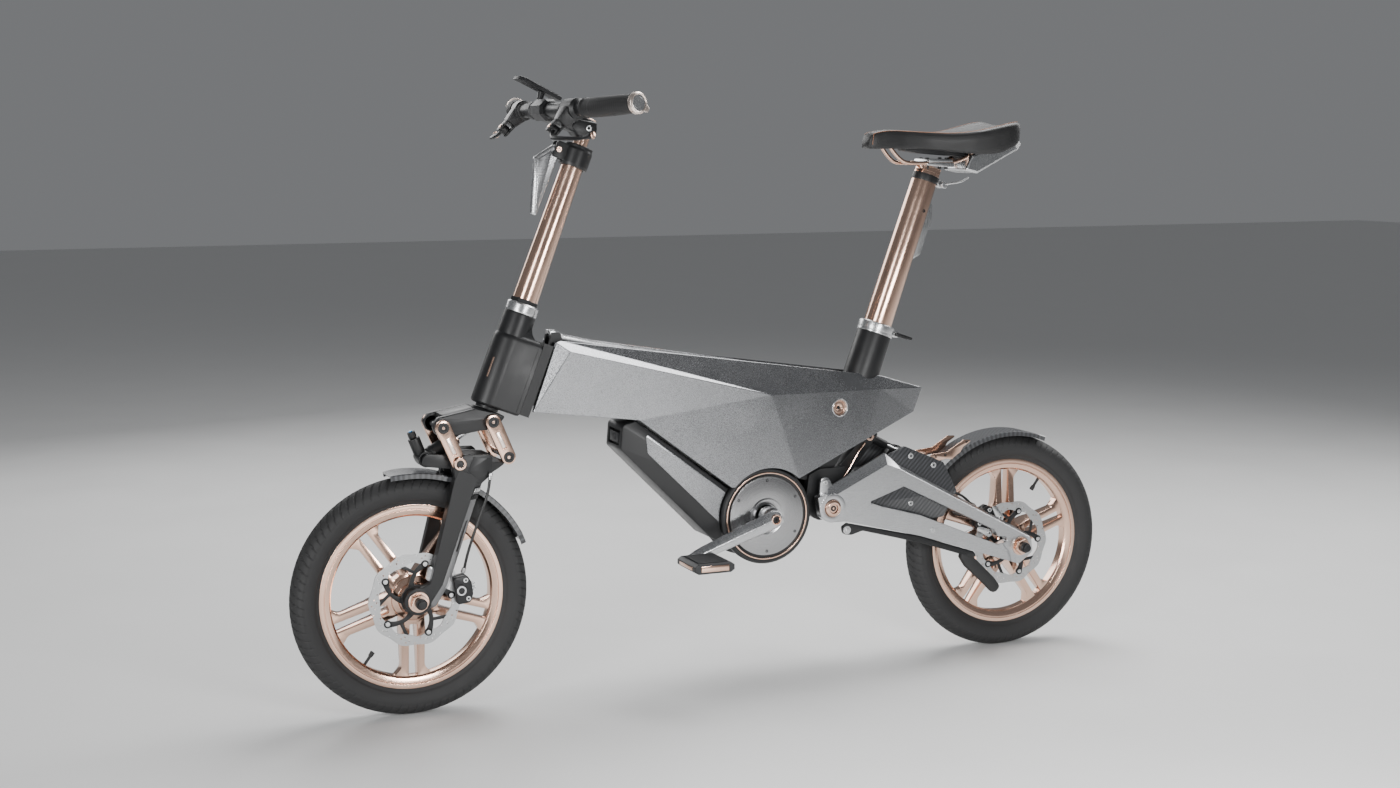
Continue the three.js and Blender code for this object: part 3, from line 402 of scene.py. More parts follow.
# ------------------------------------------------------------------ materials


class Paint:
    """A Principled material and short ways to build its nodes."""

    def __init__(self, name, color, metallic, roughness, coat=0.0, coat_roughness=0.1):
        self.made = bpy.data.materials.new(name)
        self.made.use_nodes = True
        self.nodes = self.made.node_tree.nodes
        self.links = self.made.node_tree.links
        self.shader = self.nodes["Principled BSDF"]
        self.set("Base Color", (*color, 1))
        self.set("Metallic", metallic)
        self.set("Roughness", roughness)
        self.set("Coat Weight", coat)
        self.set("Coat Roughness", coat_roughness)
        self.made.diffuse_color = (*color, 1)
        self.place = self.node("ShaderNodeTexCoord").outputs["Object"]

    def set(self, name, value):
        self.shader.inputs[name].default_value = value

    def node(self, kind, inputs=None, **settings):
        made = self.nodes.new(kind)
        for key, value in settings.items():
            setattr(made, key, value)
        for key, value in (inputs or {}).items():
            if isinstance(value, bpy.types.NodeSocket):
                self.links.new(value, made.inputs[key])
            else:
                made.inputs[key].default_value = value
        return made

    def join(self, socket, name):
        self.links.new(socket, self.shader.inputs[name])

    def stretched(self, scale, place=None):
        """Coordinates in millimetres times a scale along each axis."""
        mapping = self.node("ShaderNodeMapping", {"Vector": place or self.place})
        mapping.inputs["Scale"].default_value = [1000 * s for s in scale]
        return mapping.outputs["Vector"]

    def evenly(self, amount):
        """The place, stretched alike along all three axes."""
        return self.stretched((amount,) * 3)

    def noise(self, place, detail=3.0, scale=1.0, roughness=0.6):
        inputs = {"Vector": place, "Scale": scale, "Detail": detail, "Roughness": roughness}
        return self.node("ShaderNodeTexNoise", inputs).outputs["Fac"]

    def math(self, operation, a, b=0.0, clamp=False):
        made = self.node("ShaderNodeMath", {0: a, 1: b}, operation=operation)
        made.use_clamp = clamp
        return made.outputs[0]

    def range(self, value, low, high, start=0.3, end=0.7):
        made = self.node(
            "ShaderNodeMapRange",
            {"Value": value, "From Min": start, "From Max": end, "To Min": low, "To Max": high},
        )
        return made.outputs["Result"]

    def mix(self, share, a, b):
        made = self.node("ShaderNodeMix", data_type="RGBA")
        for index, value in ((0, share), (6, a), (7, b)):
            if isinstance(value, bpy.types.NodeSocket):
                self.links.new(value, made.inputs[index])
            else:
                made.inputs[index].default_value = value if index == 0 else (*value, 1)
        return made.outputs[2]

    def bump(self, height, millimetres, strength=1.0):
        inputs = {"Height": height, "Distance": millimetres * 0.001, "Strength": strength}
        self.join(self.node("ShaderNodeBump", inputs).outputs["Normal"], "Normal")


def flake_paint():
    """Silver-grey paint with fine metal flakes and a little orange peel."""
    p = Paint("flake_paint", (0.23, 0.235, 0.245), 0.95, 0.26, coat=0.1, coat_roughness=0.25)
    flakes = p.node("ShaderNodeTexVoronoi", {"Vector": p.evenly(1.6), "Scale": 1.0})
    grain = p.node("ShaderNodeSeparateColor", {"Color": flakes.outputs["Color"]}).outputs["Red"]
    cloud = p.noise(p.evenly(0.012), 2)
    p.join(p.mix(p.range(grain, 0.0, 1.0, 0, 1), (0.16, 0.163, 0.17), (0.38, 0.385, 0.395)), "Base Color")
    p.join(p.math("ADD", p.range(grain, 0.22, 0.3, 0, 1), p.range(cloud, -0.03, 0.03)), "Roughness")
    p.bump(p.math("ADD", grain, p.noise(p.evenly(0.25), 2)), 0.035, 0.6)
    return p.made


def cast_black():
    """Satin black coat over a casting: a fine grain, and a slow change in its sheen."""
    p = Paint("cast_black", (0.01, 0.0103, 0.011), 0.1, 0.4, coat=0.06, coat_roughness=0.3)
    cloud = p.noise(p.evenly(0.02), 3)
    grain = p.noise(p.evenly(1.8), 2)
    p.join(p.mix(cloud, (0.007, 0.0073, 0.008), (0.014, 0.0143, 0.0152)), "Base Color")
    p.join(p.range(cloud, 0.36, 0.48), "Roughness")
    p.bump(grain, 0.05, 0.5)
    return p.made


def rose_gold():
    """Polished rose gold with faint turning marks."""
    p = Paint("rose_gold", (0.79, 0.53, 0.41), 1.0, 0.17)
    fine = p.noise(p.stretched((0.12, 0.12, 2.4)), 2)
    cloud = p.noise(p.evenly(0.015), 3)
    p.join(p.mix(cloud, (0.74, 0.485, 0.37), (0.84, 0.58, 0.46)), "Base Color")
    p.join(p.math("ADD", p.range(fine, 0.12, 0.22), p.range(cloud, -0.02, 0.05)), "Roughness")
    p.bump(fine, 0.01, 0.35)
    return p.made


def brushed(name, color, scale, roughness):
    """Metal brushed along one direction."""
    p = Paint(name, color, 1.0, roughness)
    lines = p.noise(p.stretched(scale), 4, roughness=0.7)
    cloud = p.noise(p.evenly(0.02), 3)
    low = [c * 0.86 for c in color]
    high = [min(1.0, c * 1.1) for c in color]
    p.join(p.mix(lines, low, high), "Base Color")
    p.join(p.math("ADD", p.range(lines, roughness - 0.07, roughness + 0.09), p.range(cloud, -0.03, 0.04)),
           "Roughness")
    p.bump(lines, 0.02, 0.5)
    return p.made


def turned_metal(name, centre, color, roughness):
    """Metal with fine rings round an axle that lies across the bicycle."""
    p = Paint(name, color, 1.0, roughness)
    away = p.node("ShaderNodeVectorMath", {0: p.place, 1: (centre[0] * 0.001, 0, centre[1] * 0.001)},
                  operation="SUBTRACT")
    parts = p.node("ShaderNodeSeparateXYZ", {"Vector": away.outputs["Vector"]}).outputs
    square = p.math("ADD", p.math("MULTIPLY", parts["X"], parts["X"]),
                    p.math("MULTIPLY", parts["Z"], parts["Z"]))
    distance = p.math("MULTIPLY", p.math("SQRT", square), 2600.0)
    height = p.math("MULTIPLY", parts["Y"], 2600.0)
    place = p.node("ShaderNodeCombineXYZ", {"X": distance, "Y": height, "Z": 0.0}).outputs["Vector"]
    rings = p.noise(place, 4, roughness=0.75)
    p.join(p.mix(rings, [c * 0.72 for c in color], [min(1.0, c * 1.2) for c in color]), "Base Color")
    p.join(p.range(rings, roughness - 0.06, roughness + 0.1), "Roughness")
    p.set("Anisotropic", 0.5)
    p.bump(rings, 0.02, 0.6)
    return p.made


def carbon_weave(name, across, along):
    """Twill-woven carbon under clear coat, laid on two of the object's coordinates; each tow's colour is
    lighter along its crown and on the warp tows, a painted sheen over the weave.
    """
    p = Paint(name, (0.02, 0.021, 0.023), 0.1, 0.36, coat=0.9, coat_roughness=0.08)
    tow = 2.4
    u = p.math("MULTIPLY", across(p), 1 / tow)
    v = p.math("MULTIPLY", along(p), 1 / tow)
    step = p.math("ADD", p.math("FLOOR", u), p.math("FLOOR", v))
    warp = p.math("LESS_THAN", p.math("FRACT", p.math("MULTIPLY", step, 0.25)), 0.5)
    crown_u = p.math("SINE", p.math("MULTIPLY", p.math("FRACT", u), math.pi))
    crown_v = p.math("SINE", p.math("MULTIPLY", p.math("FRACT", v), math.pi))
    crown = p.math(
        "ADD", p.math("MULTIPLY", warp, crown_u), p.math("MULTIPLY", p.math("SUBTRACT", 1.0, warp), crown_v)
    )
    # Painted sheen: the tows lighter along their crowns and darker at their edges, the warp tows lighter than
    # the weft.
    light = p.math("MULTIPLY", crown, p.range(warp, 0.35, 1.0, 0, 1))
    p.join(p.mix(light, (0.008, 0.008, 0.009), (0.085, 0.088, 0.095)), "Base Color")
    p.join(p.range(warp, 0.3, 0.45, 0, 1), "Roughness")
    p.bump(crown, 0.12, 0.6)
    return p.made


def plain(axis):
    """One of the object's coordinates, in millimetres."""
    return lambda p: p.math("MULTIPLY", p.node("ShaderNodeSeparateXYZ", {"Vector": p.place}).outputs[axis],
                            1000.0)


def round_axle(centre, radius):
    """The arc length round an axle that lies across the bicycle, in millimetres."""

    def build(p):
        parts = p.node("ShaderNodeSeparateXYZ", {"Vector": p.place}).outputs
        x = p.math("SUBTRACT", parts["X"], centre[0] * 0.001)
        z = p.math("SUBTRACT", parts["Z"], centre[1] * 0.001)
        return p.math("MULTIPLY", p.math("ARCTAN2", z, x), float(radius))

    return build


def moulded(name, color, roughness, grain, depth, coat=0.0):
    """Rubber or plastic with a moulded grain; grain is cells per millimetre."""
    p = Paint(name, color, 0.0, roughness, coat=coat, coat_roughness=0.2)
    cells = p.node("ShaderNodeTexVoronoi", {"Vector": p.evenly(grain), "Scale": 1.0}, feature="SMOOTH_F1")
    cloud = p.noise(p.evenly(0.03), 3)
    p.join(p.mix(cloud, [c * 0.8 for c in color], [c * 1.3 for c in color]), "Base Color")
    p.join(p.range(cloud, roughness - 0.05, roughness + 0.06), "Roughness")
    p.bump(cells.outputs["Distance"], depth, 0.7)
    return p.made


FRONT = (576.25, 203.0)
REAR = (-576.25, 203.0)
CRANK = (-60.0, 297.0)
ARM_PIVOT = (-181.0, 305.0)

SHELL = flake_paint()
BLACK = cast_black()
ROSE = rose_gold()
ALUMINIUM = brushed("brushed_aluminium", (0.53, 0.535, 0.545), (0.03, 3.0, 3.0), 0.26)
SILVER = brushed("satin_silver", (0.66, 0.665, 0.67), (2.0, 2.0, 0.05), 0.26)
COVER = turned_metal("turned_cover", CRANK, (0.36, 0.36, 0.365), 0.24)
FRONT_STEEL = turned_metal("front_rotor_steel", FRONT, (0.52, 0.525, 0.53), 0.3)
REAR_STEEL = turned_metal("rear_rotor_steel", REAR, (0.52, 0.525, 0.53), 0.3)
FRONT_CARBON = carbon_weave("front_carbon", plain("Y"), round_axle(FRONT, 210))
REAR_CARBON = carbon_weave("rear_carbon", plain("Y"), round_axle(REAR, 210))
FLAT_CARBON = carbon_weave("flat_carbon", plain("X"), plain("Z"))
RUBBER = moulded("grip_rubber", (0.018, 0.018, 0.0185), 0.62, 0.9, 0.1)
TYRE = moulded("tyre_rubber", (0.02, 0.02, 0.0205), 0.68, 1.4, 0.08)
PLASTIC = moulded("black_plastic", (0.018, 0.0185, 0.02), 0.5, 1.2, 0.05)
LEATHER = moulded("saddle_cover", (0.014, 0.014, 0.0145), 0.5, 0.75, 0.12, coat=0.05)
HOSE = moulded("hose_cover", (0.012, 0.012, 0.012), 0.4, 1.5, 0.03, coat=0.2)
THREAD = moulded("thread", (0.42, 0.2, 0.12), 0.7, 3.0, 0.1)
PALE = brushed("pale_gold", (0.9, 0.78, 0.7), (3.0, 3.0, 3.0), 0.3)
# A lighter satin, laid on the fork legs' rear facets as a painted highlight.
HIGHLIGHT_SATIN = brushed("facet_highlight_satin", (0.3, 0.302, 0.308), (2.0, 2.0, 2.0), 0.3)
SCREEN = moulded("screen_glass", (0.006, 0.007, 0.009), 0.12, 0.05, 0.002, coat=1.0)
WHITE = moulded("white_lens", (0.78, 0.78, 0.77), 0.2, 0.5, 0.1, coat=0.8)
BLUE = moulded("blue_dial", (0.03, 0.22, 0.5), 0.3, 1.0, 0.02, coat=0.5)

# ------------------------------------------------------------------ the frame


def leaning(foot, degrees):
    """Takes (n, s, y) in a leaning tube's own frame to the bicycle's: n forward, s up the tube."""
    c, s = math.cos(math.radians(degrees)), math.sin(math.radians(degrees))
    return Matrix(((c, -s, 0, foot), (0, 0, 1, 0), (s, c, 0, 0), (0, 0, 0, 1)))


HEAD = leaning(637.2, 21.2)
SEAT = leaning(-77.4, 19.9)
# Exchanges y and z, so that an outline drawn in x and z lies along the axis of HEAD or SEAT.
SWAP = Matrix(((1, 0, 0, 0), (0, 0, 1, 0), (0, 1, 0, 0), (0, 0, 0, 1)))
SIDES = (1, -1)
NAMED_SIDES = ((1, "left"), (-1, "right"))


def head(n, y, s):
    return HEAD @ Vector((n, s, y))


def seat(n, y, s):
    return SEAT @ Vector((n, s, y))


def bolt(at, facing, radius, height, hex_radius=None, cup=0.0):
    """A round bolt head with a hexagonal socket; cup sinks its middle in a dish."""
    at, facing = Vector(at), Vector(facing).normalized()
    socket = hex_radius or radius * 0.42
    profile = [
        (socket, -1.5 - cup),
        (radius, -1.5 - cup),
        (radius, height, 0.8),
        (radius * 0.72, height, 0.6),
        (socket, height - cup),
    ]
    head_part = lathe(profile, 36).moved(aim(at, at + facing))
    floor = lathe([(0, -1.5), (socket + 0.4, -1.5), (socket + 0.4, height - cup - 1.6),
                   (0, height - cup - 1.6)], 6)
    return head_part + floor.moved(aim(at, at + facing))


SHELL_CORNERS = {
    "topFront": (316, 28.6, 623),
    "topRear": (-297, 28.6, 534),
    "tailTop": (-383, 28.6, 508),
    "tailBottom": (-366, 28.6, 464),
    "frontEdge": (326, 35, 621),
    "crease": (306, 49, 606),
    "widest": (-62, 62, 515),
    "rearRidge": (-290, 43, 512),
    "rearLow": (-257, 48, 421),
    "housingRear": (-119, 59, 362),
    "housingFront": (12, 59, 354),
    "belly": (181, 47, 482),
    "frontLow": (368, 35, 505),
}
SHELL_FACETS = [
    ("topFront", "frontEdge", "crease"),
    ("topFront", "crease", "widest"),
    ("topFront", "widest", "topRear"),
    ("topRear", "widest", "rearRidge"),
    ("topRear", "rearRidge", "tailTop"),
    ("tailTop", "rearRidge", "tailBottom"),
    ("tailBottom", "rearRidge", "rearLow"),
    ("rearLow", "rearRidge", "widest"),
    ("rearLow", "widest", "housingRear"),
    ("housingRear", "widest", "housingFront"),
    ("housingFront", "widest", "belly"),
    ("belly", "widest", "crease"),
    ("belly", "crease", "frontLow"),
    ("frontLow", "crease", "frontEdge"),
]
SHELL_RIM = (
    "topFront", "topRear", "tailTop", "tailBottom", "rearLow", "housingRear",
    "housingFront", "belly", "frontLow", "frontEdge",
)
SHELL_BACK = 28.4


def shell_half():
    """One faceted half shell, closed at the back, clear of the housing, seat tube and front rim."""
    names = list(SHELL_CORNERS)
    points = [SHELL_CORNERS[name] for name in names]
    faces = [tuple(names.index(name) for name in facet) for facet in SHELL_FACETS]
    rim = [names.index(name) for name in SHELL_RIM]
    back = []
    for i in rim:
        back.append(len(points))
        points.append((points[i][0], SHELL_BACK - 4, points[i][2]))
    for k, i in enumerate(rim):
        j = (k + 1) % len(rim)
        faces.append((i, rim[j], back[j], back[k]))
    flat = [[Vector((points[i][0], points[i][2], 0)) for i in back]]
    faces += [tuple(back[i] for i in triangle) for triangle in tessellate_polygon(flat)]
    whole = bevelled(Solid(points, faces), 0.9, 2, 3)
    front = [(-64.4, 400), (-64.4, 800), (80, 800), (80, 400)]
    front_room = stack([(-80, fillet(front)), (80, fillet(front))]).moved(HEAD @ SWAP)
    return carved(
        whole,
        disc(CRANK, 87.6, (-90, 90), 0, 96),
        lathe([(0, 440), (33.4, 440), (33.4, 700), (0, 700)], 64).moved(SEAT),
        block((-420, -90, 300), (420, SHELL_BACK, 720), 0),
        front_room,
    )


def on_shell(x, z):
    """The point and the outward direction of the shell's skin beside (x, z)."""
    for facet in SHELL_FACETS:
        a, b, c = (Vector(SHELL_CORNERS[name]) for name in facet)
        normal = (b - a).cross(c - a)
        normal = normal if normal.y > 0 else -normal
        y = a.y - (normal.x * (x - a.x) + normal.z * (z - a.z)) / normal.y
        here = Vector((x, y, z))
        turns = [
            (q - p).cross(here - p).dot(normal) for p, q in ((a, b), (b, c), (c, a))
        ]
        if min(turns) >= 0 or max(turns) <= 0:
            return here, normal.normalized()
    return None


half = shell_half()
cup_at, cup_out = on_shell(-202.7, 483.1)
cup_room = rod(cup_at - cup_out * 9, cup_at + cup_out * 3, 15.2, edge=0)
half = carved(half, cup_room)
for side, name in ((1, "left_shell"), (-1, "right_shell")):
    skin = half if side > 0 else half.mirrored()
    piece(name + "_skin", skin, "frame", SHELL, name, sharp=3)
collar = lathe([(13.2, -7), (16.6, -7), (16.6, 1.4, 0.8), (14.6, 1.4, 0.6), (13.2, -1.5)], 48)
dish = lathe([(3.4, -8), (14.9, -8), (14.9, -6.8), (10.5, -3.2, 1.0), (6.4, -3.2, 0.8), (3.4, -5.2)], 48)
stud = lathe([(0, -8), (3.5, -8), (3.5, -5.4), (0, -5.4)], 6)
to_shell = aim(cup_at, cup_at + cup_out)
piece("shell_cup_rings", both(collar.moved(to_shell)), "frame", SILVER)
piece("shell_cups", both(dish.moved(to_shell)), "frame", ROSE)
piece("shell_studs", both(stud.moved(to_shell)), "frame", BLACK)

tail_plate = stack([(-24, fillet([(-384, 507), (-378, 509), (-361, 465), (-367, 463)])),
                    (24, fillet([(-384, 507), (-378, 509), (-361, 465), (-367, 463)]))])
piece("tail_plate", bevelled(tail_plate, 0.8), "frame", ROSE)

top_deck = [(312, 618.6), (-232, 536.4), (-232, 533.4), (312, 614)]
piece("top_deck", plate(top_deck, (-27.6, 27.6), edge=0.6), "frame", BLACK)

# The crank housing: a dark drum with a rose ring, a groove and a turned cover.
HOUSING_PROFILE = [
    (22, -50), (84, -50), (86.5, -47.5, 1), (86.5, -39, 1), (76, -36, 2), (76, 36, 2), (86.5, 39, 1),
    (86.5, 46.5, 1), (83.5, 50.2, 1.5), (79.4, 50.2, 0.5), (79.4, 47.6), (76.4, 47.6), (76.4, 46.4),
    (71.6, 45.6), (22, 45.6),
]
piece("housing_drum", turned(HOUSING_PROFILE, CRANK, 128), "frame", BLACK, "crank_housing")
piece("housing_ring", ring(CRANK, 78.7, 75.9, (46.5, 50.9), 0.8, 128), "frame", ROSE)
COVER_PROFILE = [
    (21, 46), (71.2, 46), (71.2, 49.6, 0.8), (33, 50.2, 1.5), (29.5, 48.8, 1.5), (24, 48.8), (21, 47.6),
]
piece("housing_cover", turned(COVER_PROFILE, CRANK, 128), "frame", COVER, "left_cover")
screws = Solid()
for k in range(6):
    angle = math.radians(90 + 60 * k)
    x, z = CRANK[0] + 63.5 * math.cos(angle), CRANK[1] + 63.5 * math.sin(angle)
    screws += bolt((x, 49.5, z), (0, 1, 0), 2.6, 0.7, 1.3)
piece("cover_screws", screws, "frame", BLACK)
for name, span in (("left", (39, 46.6)), ("right", (-49.6, -40))):
    piece(f"{name}_bearing_race", ring(CRANK, 26, 19.8, span, 0.6), "frame", SILVER,
          f"{name}_crank_bearing")

# The lower beam: a dark spine between two painted panels.
beam = plate(
    [(183, 479, 3), (208, 474, 8), (212, 431, 8), (44, 264, 10), (-20, 231, 6), (-30, 330), (13, 352)],
    (-37, 37), edge=3.0,
)
hollow = plate([(199, 466, 3), (218, 462), (218, 440), (204, 434, 3)], (-26, 26), edge=0)
beam = carved(beam, hollow, disc(CRANK, 87.4, (-60, 60), 0, 96))
piece("beam_body", beam, "frame", BLACK, "lower_beam")
panel = carved(
    plate([(167, 459, 4), (163, 422, 5), (27, 289, 6), (8, 292, 6), (12, 341, 4)], (34, 39), edge=1.0),
    disc(CRANK, 88.4, (0, 60), 0, 96),
)
piece("beam_panels", both(panel), "frame", SHELL)
latch_face = block((206, -20, 441), (211, 20, 459), 1.2)
latch_tab = block((209.5, -8, 445), (213, 8, 455), 1.0)
piece("beam_socket", latch_face + latch_tab, "frame", PLASTIC)

# The swing arm's pivot, seat tube, belts and hinge.
piece(
    "arm_pivot_bolt",
    turned([(0, 60), (15, 60), (15, 72.6, 1.2), (11.5, 74.4, 1), (8.5, 74.4, 0.6), (7.5, 71.4), (0, 71.4)],
           ARM_PIVOT)
    + turned([(0, -74.4), (12, -74.4, 1), (12, -66), (0, -66)], ARM_PIVOT)
    + disc(ARM_PIVOT, 8, (-70, 70), 0),
    "frame", ROSE, "pivot_axle",
)
piece("arm_pivot_socket", bolt((ARM_PIVOT[0], 72, ARM_PIVOT[1]), (0, 1, 0), 5.2, 0.8, 2.4), "frame",
      BLACK)
SEAT_SLEEVE = [(27.9, 545), (32.6, 545), (31.4, 648, 1), (27.9, 648)]
piece("seat_sleeve", lathe(SEAT_SLEEVE, 72).moved(SEAT), "frame", BLACK, "seat_tube")
SEAT_COLLAR = [(27.7, 647), (33.2, 647, 0.8), (33.2, 650.4, 0.4), (32.2, 651), (32.2, 652),
               (33.4, 652.6, 0.4), (33.4, 664.6, 1.2), (29.6, 666.6, 0.6), (27.7, 666.6)]
collar_ear = plate([(-46, 652.4, 4), (-46, 664.6, 4), (-29, 664.6), (-29, 652.4)], (-7.4, 7.4), edge=0.8)
piece("seat_collar", lathe(SEAT_COLLAR, 72).moved(SEAT) + collar_ear.moved(SEAT @ SWAP), "frame",
      SILVER)


def belt(a, ra, b, rb, span, pitch):
    """A toothed belt round two pulleys."""
    outside = [Vector(p) for p in capsule(a, ra + 3.2, b, rb + 3.2, 40)]
    inside = [Vector(p) for p in capsule(a, ra + 0.6, b, rb + 0.6, 40)]
    low, high = span
    levels = [(low, inset(outside, 0.5)), (low + 0.5, outside), (high - 0.5, outside),
              (high, inset(outside, 0.5))]
    loop = stack(levels, [[(low, inside), (low + 0.5, inside), (high - 0.5, inside), (high, inside)]])
    run = [*outside, outside[0]]
    teeth, left = Solid(), 0.0
    for p, q in zip(run, run[1:]):
        length = (q - p).length
        while left < length:
            at = p.lerp(q, left / length)
            way = (q - p).normalized()
            out = Vector((way.y, -way.x))
            corners = [at + way * 1.6, at - way * 1.6]
            corners += [c + out * 0.5 for c in reversed(corners)]
            teeth += stack([(low + 0.8, corners), (high - 0.8, corners)])
            left += pitch
        left -= length
    return loop + teeth


piece("front_belt_loop", belt(CRANK, 58, ARM_PIVOT, 22, (-68, -60.5), 8), "frame", HOSE,
      "front_belt")
piece("rear_belt_loop", belt(ARM_PIVOT, 22, REAR, 24, (-47, -39), 8), "arm", HOSE, "rear_belt")
PIN = (366, -58)
piece(
    "head_hinge_pin",
    rod((*PIN, 514), (*PIN, 628), 4, edge=1)
    + rod((*PIN, 624.4), (*PIN, 630), 7.4, edge=1.4)
    + rod((*PIN, 513), (*PIN, 519.4), 6.6, edge=1.2),
    "frame", SILVER, "hinge_pin",
)

# The folding latch on top: a slim bright lever in a dark mount.
lever = plate(
    [(331, 640, 1), (320, 640, 3), (300, 631, 3), (250, 619, 2), (60, 587, 4), (-36, 570, 1.5),
     (-34, 566, 1.5), (60, 581, 4), (262, 609, 4), (310, 621, 3), (328, 633, 3)],
    (-9, 9), edge=1.6,
)
LATCH_PIVOT = (320, 629)
lever_eye = disc(LATCH_PIVOT, 6.6, (-9, 9), 0.8)
latch_bore = disc(LATCH_PIVOT, 3.5, (-20, 20), 0)
piece("latch_blade", carved(lever, latch_bore), "latch",
      ALUMINIUM, "latch_lever")
piece("latch_eye", carved(lever_eye, latch_bore), "latch", ALUMINIUM)
piece("latch_inlay", plate([(206, 611.6), (120, 597.6), (120, 596.4), (206, 610)], (-4.6, 4.6), edge=0.3),
      "latch", ROSE)

# ------------------------------------------------------------------ the head and steering
arc = [(31 * math.cos(math.radians(a)), 31 * math.sin(math.radians(a))) for a in range(-96, 97, 6)]
D_SHAPE = [Vector(p) for p in [*arc, (-46.6, 34), (-46.6, -34)]]
HEAD_LEVELS = [(553, 4), (554.2, 1.6), (557, 0), (670, 0), (674, 0.8), (678, 2.6), (681.5, 6)]
casting = stack([(s, inset(D_SHAPE, depth)) for s, depth in HEAD_LEVELS]).moved(HEAD)
NECK = [(20.9, 640), (28.6, 640), (27.4, 717, 1.0), (20.9, 717)]
FLARE_STEPS = 8
flare_foot = inset(D_SHAPE, 5.6)
flare_levels = [(674, flare_foot)]
for step in range(FLARE_STEPS + 1):
    around = math.radians(90 * step / FLARE_STEPS)
    loop = [(27.5 * point.normalized()).lerp(point, 1 - math.sin(around)) for point in flare_foot]
    flare_levels.append((681 + 28 * (1 - math.cos(around)), loop))
neck_bore = lathe([(0, 540), (20.9, 540), (20.9, 730), (0, 730)], 48).moved(HEAD)
neck_flare = carved(stack(flare_levels).moved(HEAD), neck_bore)
hinge_leaf = hull(
    [(x, y, z) for z in (548.4, 595.6) for x,
     y in ((372, -57), (386, -30), (392, -33), (366, -58), (352, -50), (354, -30))],
    1.0,
)
knuckle = rod((*PIN, 548.2), (*PIN, 595.8), 10, edge=0.8)
seam_core = [(530, inset(D_SHAPE, 0.7)), (700, inset(D_SHAPE, 0.7))]
seam = carved(block((-40.4, 540, -60), (-39.6, 690, 60), 0), stack(seam_core)).moved(HEAD)
casting = carved(casting, neck_bore, seam)
pin_bore = rod((*PIN, 500), (*PIN, 660), 4.4, edge=0)
hinge_side = carved(hinge_leaf, pin_bore)
piece("head_barrel", casting + lathe(NECK, 96).moved(HEAD) + neck_flare, "head",
      BLACK, "head_casting", sharp=26)
piece("head_knuckle", carved(knuckle, pin_bore) + hinge_side, "head",
      BLACK)
slit_angle = math.radians(38)
slit_at = [head(31.1 * math.cos(slit_angle), 31.1 * math.sin(slit_angle), s) for s in (600, 634)]
slit_strip = pipe([slit_at[0], slit_at[0].lerp(slit_at[1], 0.5), slit_at[1]], 1.5, 10)
piece("head_inlays", both(slit_strip), "head", ROSE)

COLUMN = [(13, 719), (22, 719), (22, 744), (18.5, 981), (18.5, 1003.6, 0.5), (13, 1003.6)]
column_foot = lathe([(13, 548), (20, 548), (20, 718.6), (13, 718.6)], 96).moved(HEAD)
piece("column_foot", column_foot, "steerer", BLACK)
piece("column_tube", lathe(COLUMN, 96).moved(HEAD), "steerer", ROSE, "steering_column")
CAP = [(20.2, 717.8), (27, 717.8, 0.8), (27.4, 720, 0.6), (27.4, 732.4, 1.2), (24.4, 735, 0.8), (20.2, 735)]
piece("column_cap", lathe(CAP, 96).moved(HEAD), "steerer", SILVER)
FACET = [(21.6, 734), (24.6, 734, 0.6), (24.6, 741, 0.9), (21.6, 743)]
piece("column_facet", lathe(FACET, 8).moved(HEAD), "steerer", BLACK, sharp=10)
CLAMP = [(12.9, 1004), (20, 1004), (20, 979), (24.6, 979, 0.8), (25.4, 984, 0.6), (25.4, 1008, 0.6),
         (24, 1012, 0.6), (24, 1017, 1.2), (12.9, 1017)]
clamp_body = lathe(CLAMP, 96).moved(HEAD)
clamp_ears = plate([(18, 984, 2), (42, 984, 5), (43, 1012, 5), (18, 1012, 2)], (6.6, 13),
                   edge=1.0).moved(HEAD @ SWAP)
pin_at = head(36, 0, 998)
piece("stem_clamp", clamp_body + both(clamp_ears), "steerer", BLACK, "column_clamp")
piece("stem_clamp_pin", rod((pin_at.x, -14, pin_at.z), (pin_at.x, 14, pin_at.z), 3.1) + both(
    bolt((pin_at.x, 13, pin_at.z), (0, 1, 0), 5, 1.2)), "steerer", ROSE)
fin = plate([(303, 946, 3), (317, 951, 4), (351, 930, 3), (358, 837, 3), (349, 833, 3)], (-4.4, 4.4),
            edge=1.8)
fin_rib = plate([(318, 944, 2), (345, 927, 2), (352, 842, 1), (348, 842, 1)], (-5.6, 5.6), edge=1.2)
fin_eye = disc((pin_at.x, pin_at.z), 7.4, (-6, 6), 0.8)
hole = disc((pin_at.x, pin_at.z), 3.4, (-20, 20), 0)
piece("clamp_fin", carved(fin, hole) + fin_rib + carved(fin_eye, hole), "clamp_lever", ALUMINIUM,
      "column_clamp_lever")

# The crown below the head: a stepped black casting with an eye for each link.
CROWN_FRONT, CROWN_REAR = (527, 489), (441, 494)
FORK_FRONT, FORK_REAR = (501, 428.5), (415, 433.5)
SHOCK_FOOT = (548, 434)
crown_side = plate(
    [(417, 501, 3), (430, 507, 3), (468, 517, 8), (533, 505, 6), (543, 492, 10), (536, 475, 10),
     (500, 474, 6), (455, 480, 6), (430, 480, 8), (426, 490, 6)],
    (24, 36), edge=2.0,
)
crown_bridge = plate([(432, 503, 2), (468, 517, 6), (520, 507, 3), (524, 490, 2), (430, 491, 2)], (-25, 25),
                     edge=1.0)
crown_mid = lathe([(0, 528), (30, 530, 4), (27, 547, 3), (0, 547)], 64).moved(HEAD)
eyes = total(disc(at, 13, (24, 36.6), 1.0) for at in (CROWN_FRONT, CROWN_REAR))
crown = both(crown_side + eyes) + crown_mid + carved(crown_bridge, block((425, -9, 478), (472, 9, 498.5), 0))
piece("crown_casting", crown, "steerer", BLACK, "fork_crown")

# ------------------------------------------------------------------ stem, handlebar and controls
STEM_TOP = head(0, 0, 1049)
BAR_CENTRE = head(78, 0, 1051)
BAR_END = Vector((284, 300, 1016))
GRIP_START, GRIP_END = 172, 300


